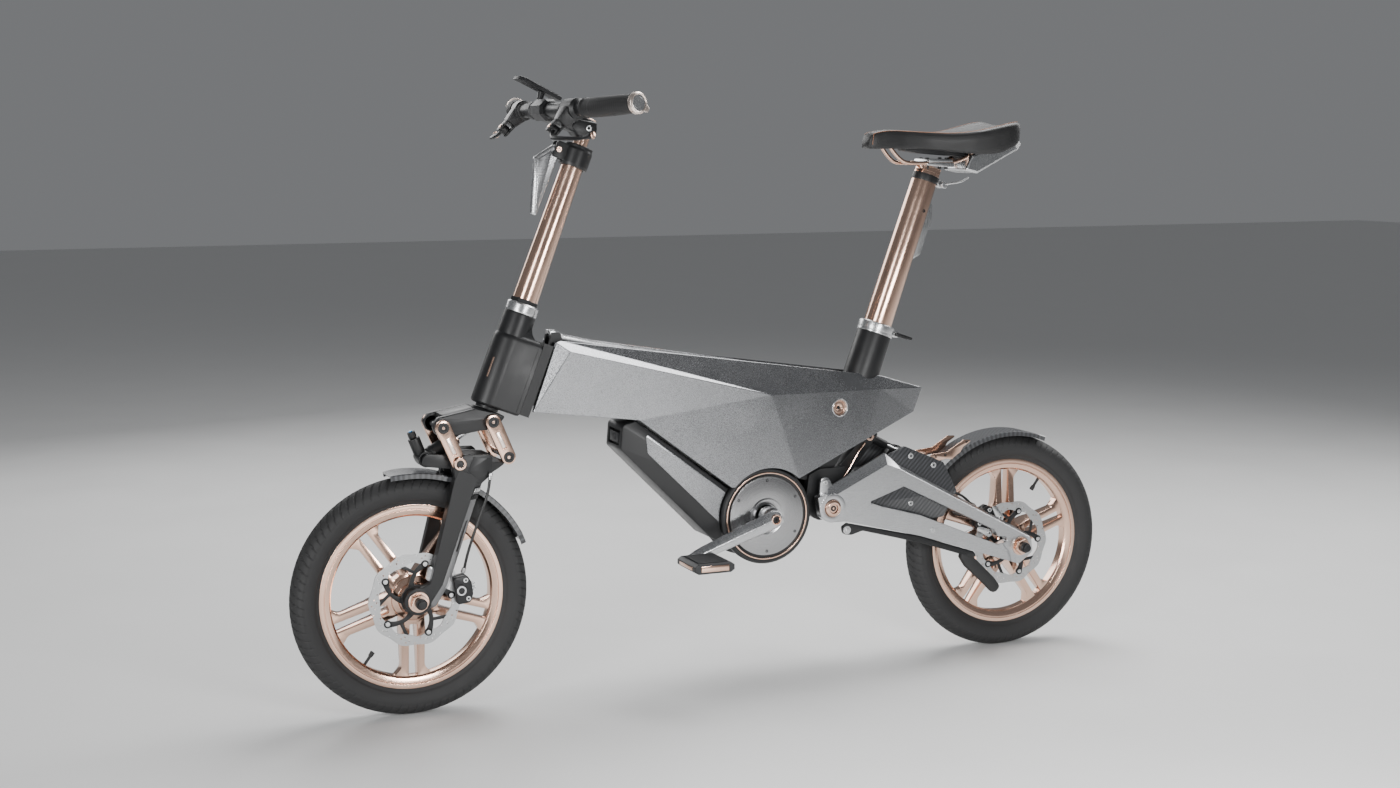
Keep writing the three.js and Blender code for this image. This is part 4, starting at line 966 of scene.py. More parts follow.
def bar_point(y):
    """The handlebar's middle line: straight in the middle, then swept back to the grips."""
    reach = min(max((abs(y) - 96) / (BAR_END.y - 96), 0), 1)
    eased = reach * (0.35 + 0.65 * reach)
    x = BAR_CENTRE.x + (BAR_END.x - BAR_CENTRE.x) * eased
    z = BAR_CENTRE.z + (BAR_END.z - BAR_CENTRE.z) * eased
    return Vector((x, y, z))


def along_bar(start, end, step=8):
    count = max(2, round(abs(end - start) / step))
    return [bar_point(start + (end - start) * k / count) for k in range(count + 1)]


inner_stem = lathe([(0, 860), (12.4, 860), (12.4, 1062), (0, 1062)], 64).moved(HEAD)
stem_arm = plate(capsule((0, 1049), 15, (78, 1051), 16.6), (-19.4, 19.4), edge=5.0).moved(HEAD @ SWAP)
stem_cap = lathe([(0, 1060), (14, 1060), (14, 1066, 2), (0, 1066)], 48).moved(HEAD)
piece("stem_post", inner_stem + stem_cap, "stem", ROSE, "stem_tube")
piece("stem_arm", stem_arm, "stem", BLACK)
BAR_CLAMP = [(11.9, -30), (15.4, -30), (19.4, -24, 1.5), (19.4, 24, 1.5), (15.4, 30), (11.9, 30)]
bar_clamp = lathe(BAR_CLAMP, 8).moved(Matrix.Translation(BAR_CENTRE) @ Matrix.Rotation(0.39, 4, "Y"))
piece("bar_clamp", bar_clamp, "stem", BLACK, sharp=20)
clamp_bolts = total(
    bolt(BAR_CENTRE + Vector((-16.5, y, 4)), (-0.9, 0, 0.3), 4.2, 2.6, 1.8) for y in (-13, 13)
)
shoulder = hull(
    [STEM_TOP + Vector(p) for p in (
        (-14, -21, 10), (22, -21, 17), (34, -21, 4), (-12, -21, -14), (20, -21, -14),
        (-14, 21, 10), (22, 21, 17), (34, 21, 4), (-12, 21, -14), (20, 21, -14),
    )],
    4.0,
    3,
)
piece("stem_shoulder", shoulder, "stem", BLACK, sharp=20)
piece("stem_bolts", clamp_bolts + both(bolt(STEM_TOP + Vector((2, 20.6, 0)), (0, 1, 0), 5.2, 1.6, 2.6)),
      "stem", SILVER)

bar_tube = pipe(along_bar(-GRIP_END, GRIP_END), 11.9, 32, 6)
piece("bar_tube", bar_tube, "stem", BLACK, "handlebar")


def grip_shape(side):
    """A rubber grip with a swollen middle, rings round it and a flange by the lever."""
    path = along_bar(side * GRIP_START, side * GRIP_END, 1.6)
    rings = []
    last = len(path) - 1
    for i, point in enumerate(path):
        share = i / last
        tangent = (path[min(i + 1, last)] - path[max(i - 1, 0)]).normalized()
        across = tangent.cross(Vector((0, 0, 1))).normalized()
        up = across.cross(tangent)
        base = 15.0 + 1.0 * math.sin(math.pi * min(1, share * 1.15)) + (1.4 if share < 0.04 else 0)
        rib = 0.35 if 0.07 < share < 0.95 and i % 3 == 0 else 0.0
        radius = base - rib
        if i in (0, last):
            radius -= 1.2
        loop = []
        for k in range(40):
            angle = math.tau * k / 40
            palm = 1.0 + 0.07 * max(0.0,
                                    math.cos(angle + (0.6 if side > 0 else math.pi - 0.6))) * (0.2 < share)
            loop.append(point + (across * math.cos(angle) + up * math.sin(angle)) * radius * palm)
        rings.append(loop)
    return loft(rings)


for side, name in NAMED_SIDES:
    piece(f"{name}_grip_sleeve", grip_shape(side), "stem", RUBBER, f"{name}_grip", sharp=50)
    end = bar_point(side * GRIP_END)
    out = (end - bar_point(side * (GRIP_END - 8))).normalized()
    frame_at = aim(end - out * 1.0, end + out)
    end_ring = lathe([(13.2, 0), (17.2, 0, 0.6), (17.2, 6.6, 1.2), (14.6, 9, 0.8), (13.2, 8)], 64)
    end_disc = lathe([(0, 0), (13.3, 0), (13.3, 7.2), (12.4, 7.8, 0.4), (0, 7.8)], 64)
    groove = ring((0, 0), 9.6, 8.8, (7, 9), 0, 48)
    lug = plate([(-4, -24, 2), (4, -24, 2), (7, -14), (-7, -14)], (1.2, 6.2), edge=1.0)
    rearward = frame_at.to_3x3().inverted() @ Vector((-0.9, 0, -0.42))
    lug = lug.moved(Matrix.Rotation(math.atan2(-rearward.x, -rearward.z), 4, "Y"))
    piece(f"{name}_end_ring", (end_ring + lug).moved(frame_at), "stem", PALE)
    piece(f"{name}_end_disc", carved(end_disc, groove).moved(frame_at), "stem", SILVER)

LEVER_PIVOT, LEVER_AXIS = (360, 130, 976), (0.764, 0, 0.646)
LEVER_ROUTE = [LEVER_PIVOT, (368, 146, 966.5), (371, 162, 963), (366, 186, 962), (350, 224, 962),
               (340, 246, 966)]


def perch():
    """The lever's housing: a faceted casting from the bar to the lever's pivot, with its cheeks."""
    clamp = pipe(along_bar(114, 148, 4), 17.2, 40, 3)
    pivot, axis = Vector(LEVER_PIVOT), Vector(LEVER_AXIS)
    down = (pivot - bar_point(130)).normalized()
    corners = []
    for y in (116, 146):
        for degrees in range(0, 360, 45):
            angle = math.radians(degrees + 22)
            corners.append(bar_point(y) + Vector((16.8 * math.cos(angle), 0, 16.8 * math.sin(angle))))
    for y in (121, 144):
        for out in (-9.6, 9.6):
            corners.append(bar_point(130) + down * 33 + axis * out + Vector((0, y - 130, 0)))
    cheeks = total(rod(pivot + axis * a, pivot + axis * b, 9.2, edge=0.8) for a,
                   b in ((5.4, 9.4), (-9.4, -5.4)))
    necks = Solid()
    for low, high in ((5.4, 9.4), (-9.4, -5.4)):
        necks += hull([bar_point(130) + down * reach + axis * out + Vector((0, y, 0))
                       for reach in (28, 44) for out in (low, high) for y in (-8, 8)], 0.6)
    return clamp + hull(corners, 2.4, 3) + cheeks + necks


def blade_size(share):
    return 4.4 - 1.1 * share + 2.6 * max(0.0, (share - 0.86) / 0.14)


def lever_blade():
    blade = pipe(LEVER_ROUTE, blade_size, 20, 3, flat=0.72, up=LEVER_AXIS)
    pivot = Vector(LEVER_ROUTE[0])
    axis = Vector(LEVER_AXIS)
    return blade + rod(pivot - axis * 5, pivot + axis * 5, 8.2, edge=0.8)


half_pin = Vector(LEVER_AXIS) * 10.4
perch_pin = rod(Vector(LEVER_PIVOT) - half_pin, Vector(LEVER_PIVOT) + half_pin, 4.2, edge=1.0)
tip = Vector(LEVER_ROUTE[-1])
blade_tip = rod(tip - Vector((8, -14, -2)) * 0.5, tip + Vector((-5, 11, 2)) * 0.4, 5.6, 6.2, edge=2.4)
for side, name in NAMED_SIDES:
    turn = turn_to(name)
    piece(f"{name}_perch", turn(perch()), "stem", BLACK)
    piece(f"{name}_perch_pin", turn(perch_pin), "stem", ROSE)
    piece(f"{name}_lever_blade", turn(lever_blade()), f"{name}_lever", BLACK,
          f"{name}_brake_lever")
    piece(f"{name}_lever_tip", turn(blade_tip), f"{name}_lever", ROSE)
    band = pipe(along_bar(side * 104, side * 110, 3), 14.4, 40, 2)
    piece(f"{name}_bar_band", band, "stem", RUBBER)

display_side = [(286, 1030, 2), (289, 1024, 2), (352, 1055, 3), (364, 1060, 1), (360, 1066, 2),
                (348, 1062, 3)]
piece("display_case", plate(display_side, (-68, -36), edge=1.6), "stem", PLASTIC, "display")
face_ends = [Vector((291, 0, 1032.4)), Vector((349, 0, 1061.4))]
face = hull(
    [end + Vector((dx, y, dz)) for end in face_ends for y in (-64.6, -39.4) for dx,
     dz in ((-0.6, 1.2), (0.6, -1.2))],
    0.5,
)
piece("display_face", face, "stem", SCREEN)
mount_arm = pipe([(326, -52, 1012), (322, -52, 1024), (318, -52, 1040)], 5.6, 20, 3)
mount_ring = pipe(along_bar(-60, -44, 3), 15.4, 40, 2)
piece("display_mount", mount_arm + mount_ring, "stem", PLASTIC)

# ------------------------------------------------------------------ front links, fork and shock


def link(top, low, material_body, name, node, stations):
    """One suspension link: two cheeks with a milled pocket, and ring bolts in black."""
    low, top = Vector(low), Vector(top)
    outer = capsule(tuple(top), 13.2, tuple(low), 12.4, 20)
    way = (low - top).normalized()
    side = Vector((-way.y, way.x))
    pocket = [tuple(top + way * a + side * b) + (2,) for a,
              b in ((17, -4.6), (50, -4.2), (50, 4.2), (17, 4.6))]
    cheek = carved(
        plate(outer, stations, edge=1.4),
        plate(pocket, (stations[1] - 2.2, stations[1] + 3), edge=0),
    )
    piece(name, both(cheek), material_body, ROSE, node)
    inlay = [tuple(top + way * a + side * b) + (1.6,) for a,
             b in ((19, -3.6), (48, -3.4), (48, 3.4), (19, 3.6))]
    floor_span = (stations[1] - 2.6, stations[1] - 1.2)
    piece(name + "_inlays", both(plate(inlay, floor_span, edge=0.4)), material_body, PALE)
    rings = Solid()
    for at in (top, low):
        rings += ring(at, 9.4, 5.2, (stations[1] - 1, stations[1] + 1.4), 0.7)
        rings += bolt((at.x, stations[1] - 0.6, at.y), (0, 1, 0), 5.3, 1.0, 2.6)
    piece(name + "_bolts", both(rings), material_body, BLACK)
    piece(name + "_pins", total(disc(at, 5.2, (-stations[0] - 2, stations[0] + 2), 0) for at in (top, low)),
          material_body, SILVER)


LINK_SPAN = (37.2, 46)
link(CROWN_FRONT, FORK_FRONT, "leading_link", "leading_link_cheeks", "front_link", LINK_SPAN)
link(CROWN_REAR, FORK_REAR, "trailing_link", "trailing_link_cheeks", "rear_link", LINK_SPAN)


LEG_SIDE = fillet([(456, 404, 3), (503, 420, 3), (512, 402, 5), (556, 232, 6), (590, 218, 6), (572, 184, 5),
                   (545, 190, 8), (523, 222, 12), (463, 390, 8)])
LEG_FACE = fillet([(464, 404, 3), (503, 420, 3), (511, 402, 5), (555, 232, 6), (588, 218, 6), (572, 188, 5),
                   (556, 198, 8), (535, 228, 12), (475, 392, 8)])


def fork_leg():
    """A fork leg with a flat outer face and a wide facet along its rear edge."""
    return stack([(36.2, inset(LEG_SIDE, 1.0)), (37.2, LEG_SIDE), (42.6, LEG_SIDE), (50.8, LEG_FACE),
                  (51.8, inset(LEG_FACE, 0.9))])


def painted_facet_highlight():
    """A lighter satin panel just proud of the leg's rear facet, a painted highlight for the facet's bright
    reflection.
    """
    strip = plate([(450, 384), (484, 384), (541, 232), (557, 203), (564, 198), (570, 180), (540, 178),
                   (505, 220)],
                  (43.4, 50.2), edge=0)
    grown = stack([(42.6, inset(LEG_SIDE, -0.4)), (50.8, inset(LEG_FACE, -0.4))])
    return boolean(grown, "INTERSECT", [strip])


# The rear facets' lighter panels: a painted highlight where the facets catch the light.
piece("painted_facet_highlights", both(painted_facet_highlight()), "fork_set", HIGHLIGHT_SATIN)
leg = fork_leg() + disc(FRONT, 23, (35.8, 52.2), 1.8, 72)
bracket = plate(
    [(415, 424, 8), (440, 436, 8), (500, 441, 6), (513, 425, 8), (506, 402, 8), (462, 396, 6), (430, 414, 8)],
    (24.2, 35.6), edge=1.6,
)
cap_plate = plate(
    [(445, 436, 5), (452, 442, 5), (492, 443, 8), (512, 432, 10), (511, 404, 6), (466, 392, 4),
     (447, 408, 5)],
    (46.8, 51.2), edge=1.2,
)
cap_panel = plate([(453, 436, 3), (478, 439, 3), (488, 416, 3), (470, 399, 2), (454, 411, 3)], (50.4, 52.0),
                  edge=0.5)
leg_root = plate([(460, 426, 3), (486, 434, 3), (512, 402, 3), (500, 396), (462, 396, 3)], (35.4, 36.9),
                 edge=0.3)
shock_mount = both(plate(capsule(FORK_FRONT, 12, SHOCK_FOOT, 11), (24.2, 31), edge=1.2))
cross = block((459, -24.6, 413.4), (491, 24.6, 429.6), 1.4) + disc(SHOCK_FOOT, 8, (-26, 26), 0.8)
piece("fork_blades", both(leg + bracket + leg_root) + shock_mount + cross, "fork_set", BLACK,
      "fork", sharp=26)
piece("fork_caps", both(cap_plate + cap_panel), "fork_set", BLACK, sharp=26)
cap_rings = ring(FORK_FRONT, 10.6, 6.2, (50.2, 52.6), 0.8)
piece("fork_cap_rings", both(cap_rings), "fork_set", ROSE)
piece("fork_cap_bolts", both(bolt((501, 50.6, 428.5), (0, 1, 0), 6.1, 1.4, 2.8)), "fork_set",
      BLACK)
piece("fork_screws", both(bolt((474, 50.6, 404), (0, 1, 0), 2.6, 1.0, 1.2)), "fork_set", SILVER)


def facet_strap(top, low):
    """A strap lying on the fork leg's rear facet."""
    corners = []
    for z in (top, low):
        rear = 463 + (390 - z) * 0.357
        for x, y in ((rear, 42.8), (rear + 12, 51.0)):
            corners += [(x, y, z), (x - 0.8, y + 1.1, z)]
    return hull(corners, 0.3)


piece("fork_straps", both(facet_strap(386, 379)), "fork_set", SILVER)
piece("fork_strap_shadows", both(facet_strap(375, 367)), "fork_set", BLACK)


def axle_end(centre, y, washer, nut, nut_span):
    """A washer and a hexagonal nut for the end of the axle."""
    flats = lathe([(6.6, 0), (nut, 0, 0.6), (nut, nut_span, 1.0), (6.6, nut_span)], 6)
    at = Matrix.Translation((centre[0], y, centre[1]))
    return ring(centre, washer, 6.6, (y - 2.2, y), 0.5), flats.moved(at @ Matrix.Rotation(0.3, 4, "Y"))


washer, nut = axle_end(FRONT, 54.4, 17.5, 15, 9)
stub = disc(FRONT, 6.8, (-80, 80), 1.2) + both(disc(FRONT, 9.6, (63.2, 74), 1.4))
piece("front_axle_nuts", both(washer + nut), "fork_set", ROSE, sharp=20)
piece("front_axle_stub", stub, "fork_set", BLACK, "front_axle")

SHOCK_NOSE = Vector((548, 0, 434))
CROWN_REAR_AT = Vector((441, 0, 494))
shock_way = CROWN_REAR_AT - SHOCK_NOSE


def on_shock(share):
    return SHOCK_NOSE + shock_way * share


eye = ring(SHOCK_FOOT, 13.6, 8.4, (-16, 16), 1.4)
barrel = rod(on_shock(0.07), on_shock(0.5), 13, edge=2) + rod(on_shock(0.12), on_shock(0.16), 13.8, edge=0.5)
reservoir = rod((555, 0, 441), (566, 0, 469), 10.2, edge=1.6)
piece("front_shock_can", carved(barrel, rod(on_shock(0.2), on_shock(0.6), 6.8)) + eye + reservoir, "fork_set",
      BLACK, "front_shock_body")
dial_turn = aim((566.4, 0, 469.6), (572, 0, 483))
piece("front_shock_dial", lathe([(0, 0), (6.4, 0), (7.2, 2.5), (6.6, 11, 1.6), (0, 11)], 12).moved(dial_turn),
      "fork_set", BLACK, sharp=24)
piece("front_shock_dot", lathe([(0, 10), (3.4, 10), (3.4, 12.6, 0.8), (0, 12.6)], 16).moved(dial_turn),
      "fork_set", BLUE)
shock_seal = lathe([(6.5, 0), (11.4, 0, 0.8), (11.4, 4.4, 0.8), (6.5, 4.4)], 48)
piece("front_shock_seal", shock_seal.moved(aim(on_shock(0.485), on_shock(0.6))), "fork_set",
      ROSE)
shaft = rod(on_shock(0.42), on_shock(0.93), 5.9)
shaft_eye = ring((441, 494), 11.4, 6.6, (-9, 9), 1.2)
piece("front_shock_rod", shaft, "front_shaft", SILVER, "front_shock_shaft")
piece("front_shock_rod_eye", shaft_eye, "front_shaft", BLACK)


def mudguard(centre, first, last, name, body, node, carbon):
    """A thin carbon arc with rolled edges over a wheel."""
    inner, outer, half_width, lip = 208.6, 211.4, 30.6, 6.0
    section = [
        (-half_width, inner - lip), (-half_width, outer - 1.4), (-half_width + 1.4, outer),
        (half_width - 1.4, outer), (half_width, outer - 1.4), (half_width, inner - lip),
        (half_width - 2.2, inner - lip), (half_width - 2.2, inner - 1), (half_width - 3.2, inner),
        (-half_width + 3.2, inner), (-half_width + 2.2, inner - 1), (-half_width + 2.2, inner - lip),
    ]
    steps = 72
    loops = []
    for k in range(steps + 1):
        share = k / steps
        angle = math.radians(first + (last - first) * share)
        narrow = 1 - 0.16 * max(0.0, abs(share - 0.5) * 2 - 0.86) / 0.14
        loops.append([
            Vector((centre[0] + r * math.cos(angle), y * narrow, centre[1] + r * math.sin(angle)))
            for y, r in section
        ])
    piece(name, loft(loops), body, carbon, node, sharp=28)


mudguard(FRONT, 80, 158, "front_guard", "fork_set", "front_mudguard", FRONT_CARBON)
mudguard(REAR, 42, 112, "rear_guard", "arm", "rear_mudguard", REAR_CARBON)
guard_tab = plate([(467, 413, 2), (483, 413, 2), (480, 391, 4), (470, 386, 4)], (-11, 11), edge=1.2)
piece("front_guard_tab", guard_tab, "fork_set", ROSE)
cable = [(452, 56, 400), (458, 56.5, 372), (478, 57, 320), (490, 50, 278), (494, 42, 252)]
piece("front_cable_run", pipe(cable, 2.4, 12, 4), "fork_set", HOSE, "front_brake_cable")
cable_ends = rod(cable[0], (450, 55.6, 411), 3.6, 3.0, 0.6) + rod(cable[-1], (496, 38, 243), 3.4, 4.2, 0.8)
piece("front_cable_ends", cable_ends, "fork_set", SILVER)


def polar(centre, radius, degrees):
    angle = math.radians(degrees)
    return Vector((centre[0] + radius * math.cos(angle), centre[1] + radius * math.sin(angle)))


def caliper(centre, degrees, body, prefix, node):
    """A disc brake caliper: two halves with pad fins and screws; the mounting ears are made on their own."""
    out = (polar(centre, 1, degrees) - Vector(centre)).normalized()
    along = Vector((-out.y, out.x))

    def spot(r, t, extra=()):
        return (*(Vector(centre) + out * r + along * t), *extra)

    half_shape = [spot(66, -23, (5,)), spot(66, 23, (5,)), spot(90, 24, (8,)), spot(96, 10, (5,)),
                  spot(96, -10, (5,)), spot(90, -24, (8,))]
    inner = plate(half_shape, (20.4, 30.6), edge=1.6)
    outer = plate(half_shape, (35.4, 45.6), edge=2.4)
    bridge = plate([spot(84, -22, (2,)), spot(84, 22, (2,)), spot(95, 14, (3,)), spot(95, -14, (3,))],
                   (30, 36), edge=0.4)
    x, z = spot(76, 0)
    piston = rod((x, 45, z), (x, 47.6, z), 11, edge=1.0)
    piece(prefix + "_halves", inner + outer + bridge + piston, body, BLACK, node)
    screws = Solid()
    for t in (-16, 16):
        x, z = spot(86, t)
        screws += bolt((x, 45.2, z), (0, 1, 0), 4.2, 1.8, 2.0)
    screws += ring(spot(76, 0), 8.2, 5.4, (47.2, 48.6), 0.5)
    piece(prefix + "_screws", screws, body, SILVER)
    fins = total(
        plate([spot(94, t - 1), spot(94, t + 1), spot(103, t + 1, (0.6,)), spot(103, t - 1, (0.6,))],
              (29, 38), edge=0.3)
        for t in (-6, -2, 2, 6)
    )
    piece(prefix + "_fins", fins, body, ALUMINIUM)


caliper(FRONT, 172, "fork_set", "front_brake", "front_caliper")
caliper(REAR, 41, "arm", "rear_brake", "rear_caliper")
arm_shape = [(556, 262, 6), (562, 238, 6), (523, 214, 8), (519, 240, 6)]
piece("front_brake_arm", plate(arm_shape, (40, 45), edge=1.2), "fork_set", ALUMINIUM)

# ------------------------------------------------------------------ wheels, tyres and rotors
RIM_PROFILE = [
    (157.4, -15), (157.4, 15, 1.2), (149.9, 15, 0.9), (149.3, 13.4), (148.1, 13.4), (147.5, 14.4, 0.7),
    (139.6, 11.8, 1.2), (136.2, 8.4, 1.2), (136.2, -8.4, 1.2), (139.6, -11.8, 1.2), (147.5, -14.4, 0.7),
    (148.1, -13.4), (149.3, -13.4), (149.9, -15, 0.9),
]
HUB_PROFILE = [
    (7, -31), (24, -31, 1), (27, -28, 1), (28, -25, 1), (37, -21.5, 2), (40, -17, 1.5), (40, 17, 1.5),
    (37, 21.5, 2), (28, 25, 1), (27, 28, 1), (24, 31, 1), (7, 31),
]


def double_spoke():
    """Two parallel arms from hub to rim, stepping up towards the hub."""
    outline = [
        (30, -18), (60, -20, 20), (121, -19.6, 13), (139, -36), (139, 36), (121, 19.6, 13), (60, 20, 20),
        (30, 18),
    ]
    slot = [(45, -7, 2.5), (137.5, -7.6, 1.5), (137.5, 7.6, 1.5), (45, 7, 2.5)]
    blank = stack([(-21, fillet(outline)), (21, fillet(outline))],
                  [[(-21, fillet(slot)), (21, fillet(slot))]])
    faces = []
    for way in SIDES:
        room = [(34, 20), (62, 17.6), (74, 13.2), (141, 8.6)]
        high = 30
        for (r0, y0), (r1, y1) in zip(room, room[1:]):
            corners = [(r0 - 0.01, y0), (r1 + 0.01, y1), (r1 + 0.01, high), (r0 - 0.01, high)]
            wedge = stack([(-60, fillet(corners)), (60, fillet(corners))])
            faces.append(wedge.moved(Matrix(((1, 0, 0, 0), (0, 0, way, 0), (0, 1, 0, 0), (0, 0, 0, 1)))))
    return bevelled(carved(blank, *faces), 0.9, 2, 24)


def wheel(centre, start, prefix, body, node):
    spoke = double_spoke()
    solid = turned(RIM_PROFILE, centre, 192) + turned(HUB_PROFILE, centre, 96)
    for k in range(5):
        turn = Matrix.Rotation(-math.radians(start + 72 * k), 4, "Y")
        solid += spoke.moved(Matrix.Translation((centre[0], 0, centre[1])) @ turn)
    piece(prefix + "_wheel_casting", solid, body, ROSE, node, sharp=24)
    valve_way = (polar(centre, 1, start + 36) - Vector(centre)).normalized()
    low, high = Vector(centre) + valve_way * 112, Vector(centre) + valve_way * 137
    stem = rod((low.x, 0, low.y), (high.x, 0, high.y), 2.6) + rod((low.x, 0, low.y), (
        (low + valve_way * 9).x, 0, (low + valve_way * 9).y), 4.2, 3.8, 0.8)
    piece(prefix + "_valve", stem, body, RUBBER)
    caps = ring(centre, 22, 8, (30.6, 31.4), 0.3)
    piece(prefix + "_hub_seals", both(caps), body, BLACK)


TYRE_STEPS = 1008
SIPES = 84
TYRE_PROFILE = [
    (155.6, 13.2), (158.6, 15.6), (161.2, 16.6), (163.0, 17.6), (163.8, 19.0), (166.4, 20.6), (170.8, 22.6),
    (175.4, 24.2), (179.4, 24.9), (182.6, 25.0), (184.2, 24.6), (185.4, 24.9), (187.4, 24.3), (189.8, 23.2),
    (192.2, 21.6), (194.6, 19.4), (196.8, 16.8), (198.8, 13.8), (200.4, 10.6), (201.6, 7.4), (202.3, 4.6),
    (202.6, 2.6), (202.6, 1.4), (202.0, 0.7),
]


def tyre(centre, name, body, node):
    """A road tyre: bead, rings on the side wall, a centre groove and slanted sipes."""
    half = TYRE_PROFILE
    section = half + [(r, -y) for r, y in reversed(half)] + [(155.6, -8), (155.6, 8)]
    pitch = TYRE_STEPS / SIPES
    count = len(section)
    points = []
    for k in range(TYRE_STEPS):
        angle = math.tau * k / TYRE_STEPS
        for r, y in section:
            lateral = abs(y)
            depth = 0.0
            if r > 184 and lateral > 2.4:
                shift = (lateral - 2.4) * 0.62 + (pitch / 2 if y < 0 else 0)
                phase = (k + shift) % pitch
                if phase < 1.6:
                    depth = 2.6 if r > 191 else 1.5
            radius = r - depth * min(1.0, (r - 180) / 20)
            side = y - math.copysign(depth * 0.55 * (lateral / 25), y)
            points.append((centre[0] + radius * math.cos(angle), side, centre[1] + radius * math.sin(angle)))
    faces = []
    for k in range(TYRE_STEPS):
        a, b = k * count, (k + 1) % TYRE_STEPS * count
        faces += [(a + i, a + (i + 1) % count, b + (i + 1) % count, b + i) for i in range(count)]
    piece(name, Solid(points, faces), body, TYRE, node, sharp=40)


LOBES = 10
ROTOR_STATION = (31.6, 33.6)


def rotor(centre, prefix, body, node, steel):
    """A scalloped brake disc with drilled holes on a curved black spider."""
    outer, inner = [], []
    steps = 160
    for k in range(steps):
        angle = math.tau * k / steps
        wave = math.cos(LOBES * angle)
        outer.append(polar(centre, 78.2 + 1.7 * wave, math.degrees(angle)))
        inner.append(polar(centre, 61.2 - 1.9 * math.cos(LOBES * angle + 0.7), math.degrees(angle)))
    holes = [inner]
    per_row = 30
    for row, radius in enumerate((65.6, 69.9, 74.2)):
        for k in range(per_row):
            if (k + row) % 3 == 2:
                continue
            at = polar(centre, radius, 360 / per_row * (k + row / 3))
            holes.append([Vector(p) for p in circle(at, 1.45, 8)])
    low, high = ROTOR_STATION
    disc_ring = stack([(low, outer), (high, outer)], [[(low, hole), (high, hole)] for hole in holes])
    piece(prefix + "_rotor_ring", disc_ring, body, steel, node, sharp=40)
    spider = ring(centre, 25, 17, (31.2, 35.4), 0.8)
    rivets = Solid()
    arm_count = 5
    for k in range(arm_count):
        base = 360 / arm_count * k
        middle = [polar(centre, 21 + 40 * t / 8, base + 34 * (t / 8) ** 1.2) for t in range(9)]
        edges = [[], []]
        for i, here in enumerate(middle):
            way = (middle[min(i + 1, 8)] - middle[max(i - 1, 0)]).normalized()
            normal = Vector((-way.y, way.x)) * (5.6 - 2.2 * math.sin(math.pi * i / 8))
            edges[0].append(here + normal)
            edges[1].append(here - normal)
        loop = edges[0] + edges[1][::-1]
        spider += stack(edged(loop, (31.4, 34.6), 0.5))
        spider += disc(middle[-1], 6.6, (31.4, 34.6), 0.5)
        brace = [polar(centre, 46, base + 22), polar(centre, 60, base + 2), polar(centre, 61, base - 6),
                 polar(centre, 56, base - 2), polar(centre, 42, base + 18)]
        spider += stack(edged(brace, (31.4, 34.0), 0.4))
        rivets += disc(middle[-1], 3.9, (34.4, 35.6), 0.4)
    piece(prefix + "_rotor_spider", spider, body, BLACK)
    piece(prefix + "_rotor_rivets", rivets, body, SILVER)


for centre, start, prefix, body, steel in (
    (FRONT, 270, "front", "front_wheel_set", FRONT_STEEL),
    (REAR, 90, "rear", "rear_wheel_set", REAR_STEEL),
):
    wheel(centre, start, prefix, body, prefix + "_wheel")
    tyre(centre, prefix + "_tyre_tread", body, prefix + "_tyre")
    rotor(centre, prefix, body, prefix + "_rotor", steel)

# ------------------------------------------------------------------ the rear arm, its shock and the kickstand


def arm_outline(lower):
    """The arm's outline with its top edge lowered, for the long facet along it."""
    return fillet([
        (-158, 290), (-152, 326, 3), (-166, 331), (-176, 331 - 0.2 * lower), (-176, 340 - lower, 2),
        (-291, 396 - 1.15 * lower, 2), (-318, 374 - 0.45 * lower, 3), (-600, 222 - 0.3 * lower, 8),
        (-604, 190, 10), (-574, 169, 10), (-363, 239, 3), (-206, 279, 3), (-181, 279),
    ])


WINDOW = [(-254, 310, 2), (-326, 334, 3), (-520, 238, 3), (-528, 225, 2), (-545, 223, 3), (-548, 215, 3),
          (-530, 209, 3), (-362, 278, 3), (-280, 301, 2)]


def window_level(grow):
    return inset(fillet(WINDOW), -grow)


arm_levels = [(51.2, arm_outline(0.6)), (52.0, arm_outline(0)), (56.5, arm_outline(0)),
              (68.3, arm_outline(16)), (69.0, inset(arm_outline(16), 0.7))]
hole_levels = [(51.2, window_level(0.8)), (52.0, window_level(0)), (56.5, window_level(0)),
               (68.3, window_level(0)), (69.0, window_level(0.7))]
pivot_room = disc(ARM_PIVOT, 8.3, (40, 80), 0)
left_arm = carved(stack(arm_levels, [hole_levels]), pivot_room, disc(REAR, 7.2, (40, 80), 0))
boss = ring(ARM_PIVOT, 26, 15.4, (50.9, 69.6), 1.6, 96)
lower_part = [(-198, 262), (-204, 275), (-231, 290.5), (-262, 307), (-281, 299), (-362, 276), (-529, 208),
              (-536, 214), (-552, 196), (-566, 150), (-363, 225)]
setback = stack([(64.2, fillet(lower_part)), (80, fillet(lower_part))])
joint_line = fillet([(-199, 264), (-203.6, 275.6), (-230.6, 291.4), (-262, 308), (-270, 309), (-231, 289.4),
                     (-206, 274), (-203, 262)])
joint_groove = stack([(61.5, joint_line), (80, joint_line)])
left_arm = carved(left_arm, disc(ARM_PIVOT, 25.5, (40, 80), 0, 72), setback, joint_groove)
bore_sleeve = ring(ARM_PIVOT, 15.6, 8.3, (51.4, 60), 0.4)
axle_boss = ring(REAR, 20, 7.2, (50.8, 69.3), 1.6, 72)
ear = plate(capsule((-172, 350), 10, (-178, 322), 18), (51.6, 57), edge=1.0)
piece("arm_plate", left_arm, "arm", ALUMINIUM, "swing_arm", sharp=16)
piece("arm_bosses", boss + bore_sleeve + axle_boss + ear, "arm", ALUMINIUM)
right_side = plate(
    [(-158, 290, 6), (-150, 330, 8), (-292, 394, 4), (-318, 372, 3), (-600, 222, 10), (-604, 190, 10),
     (-574, 169, 10), (-363, 241, 4), (-206, 279, 4), (-181, 279)],
    (-58.4, -51.2), holes=[WINDOW], edge=1.2,
)
piece("arm_right_plate",
      carved(right_side, disc(ARM_PIVOT, 8.3, (-80, -40), 0), disc(REAR, 7.2, (-80, -40), 0)), "arm",
      ALUMINIUM)
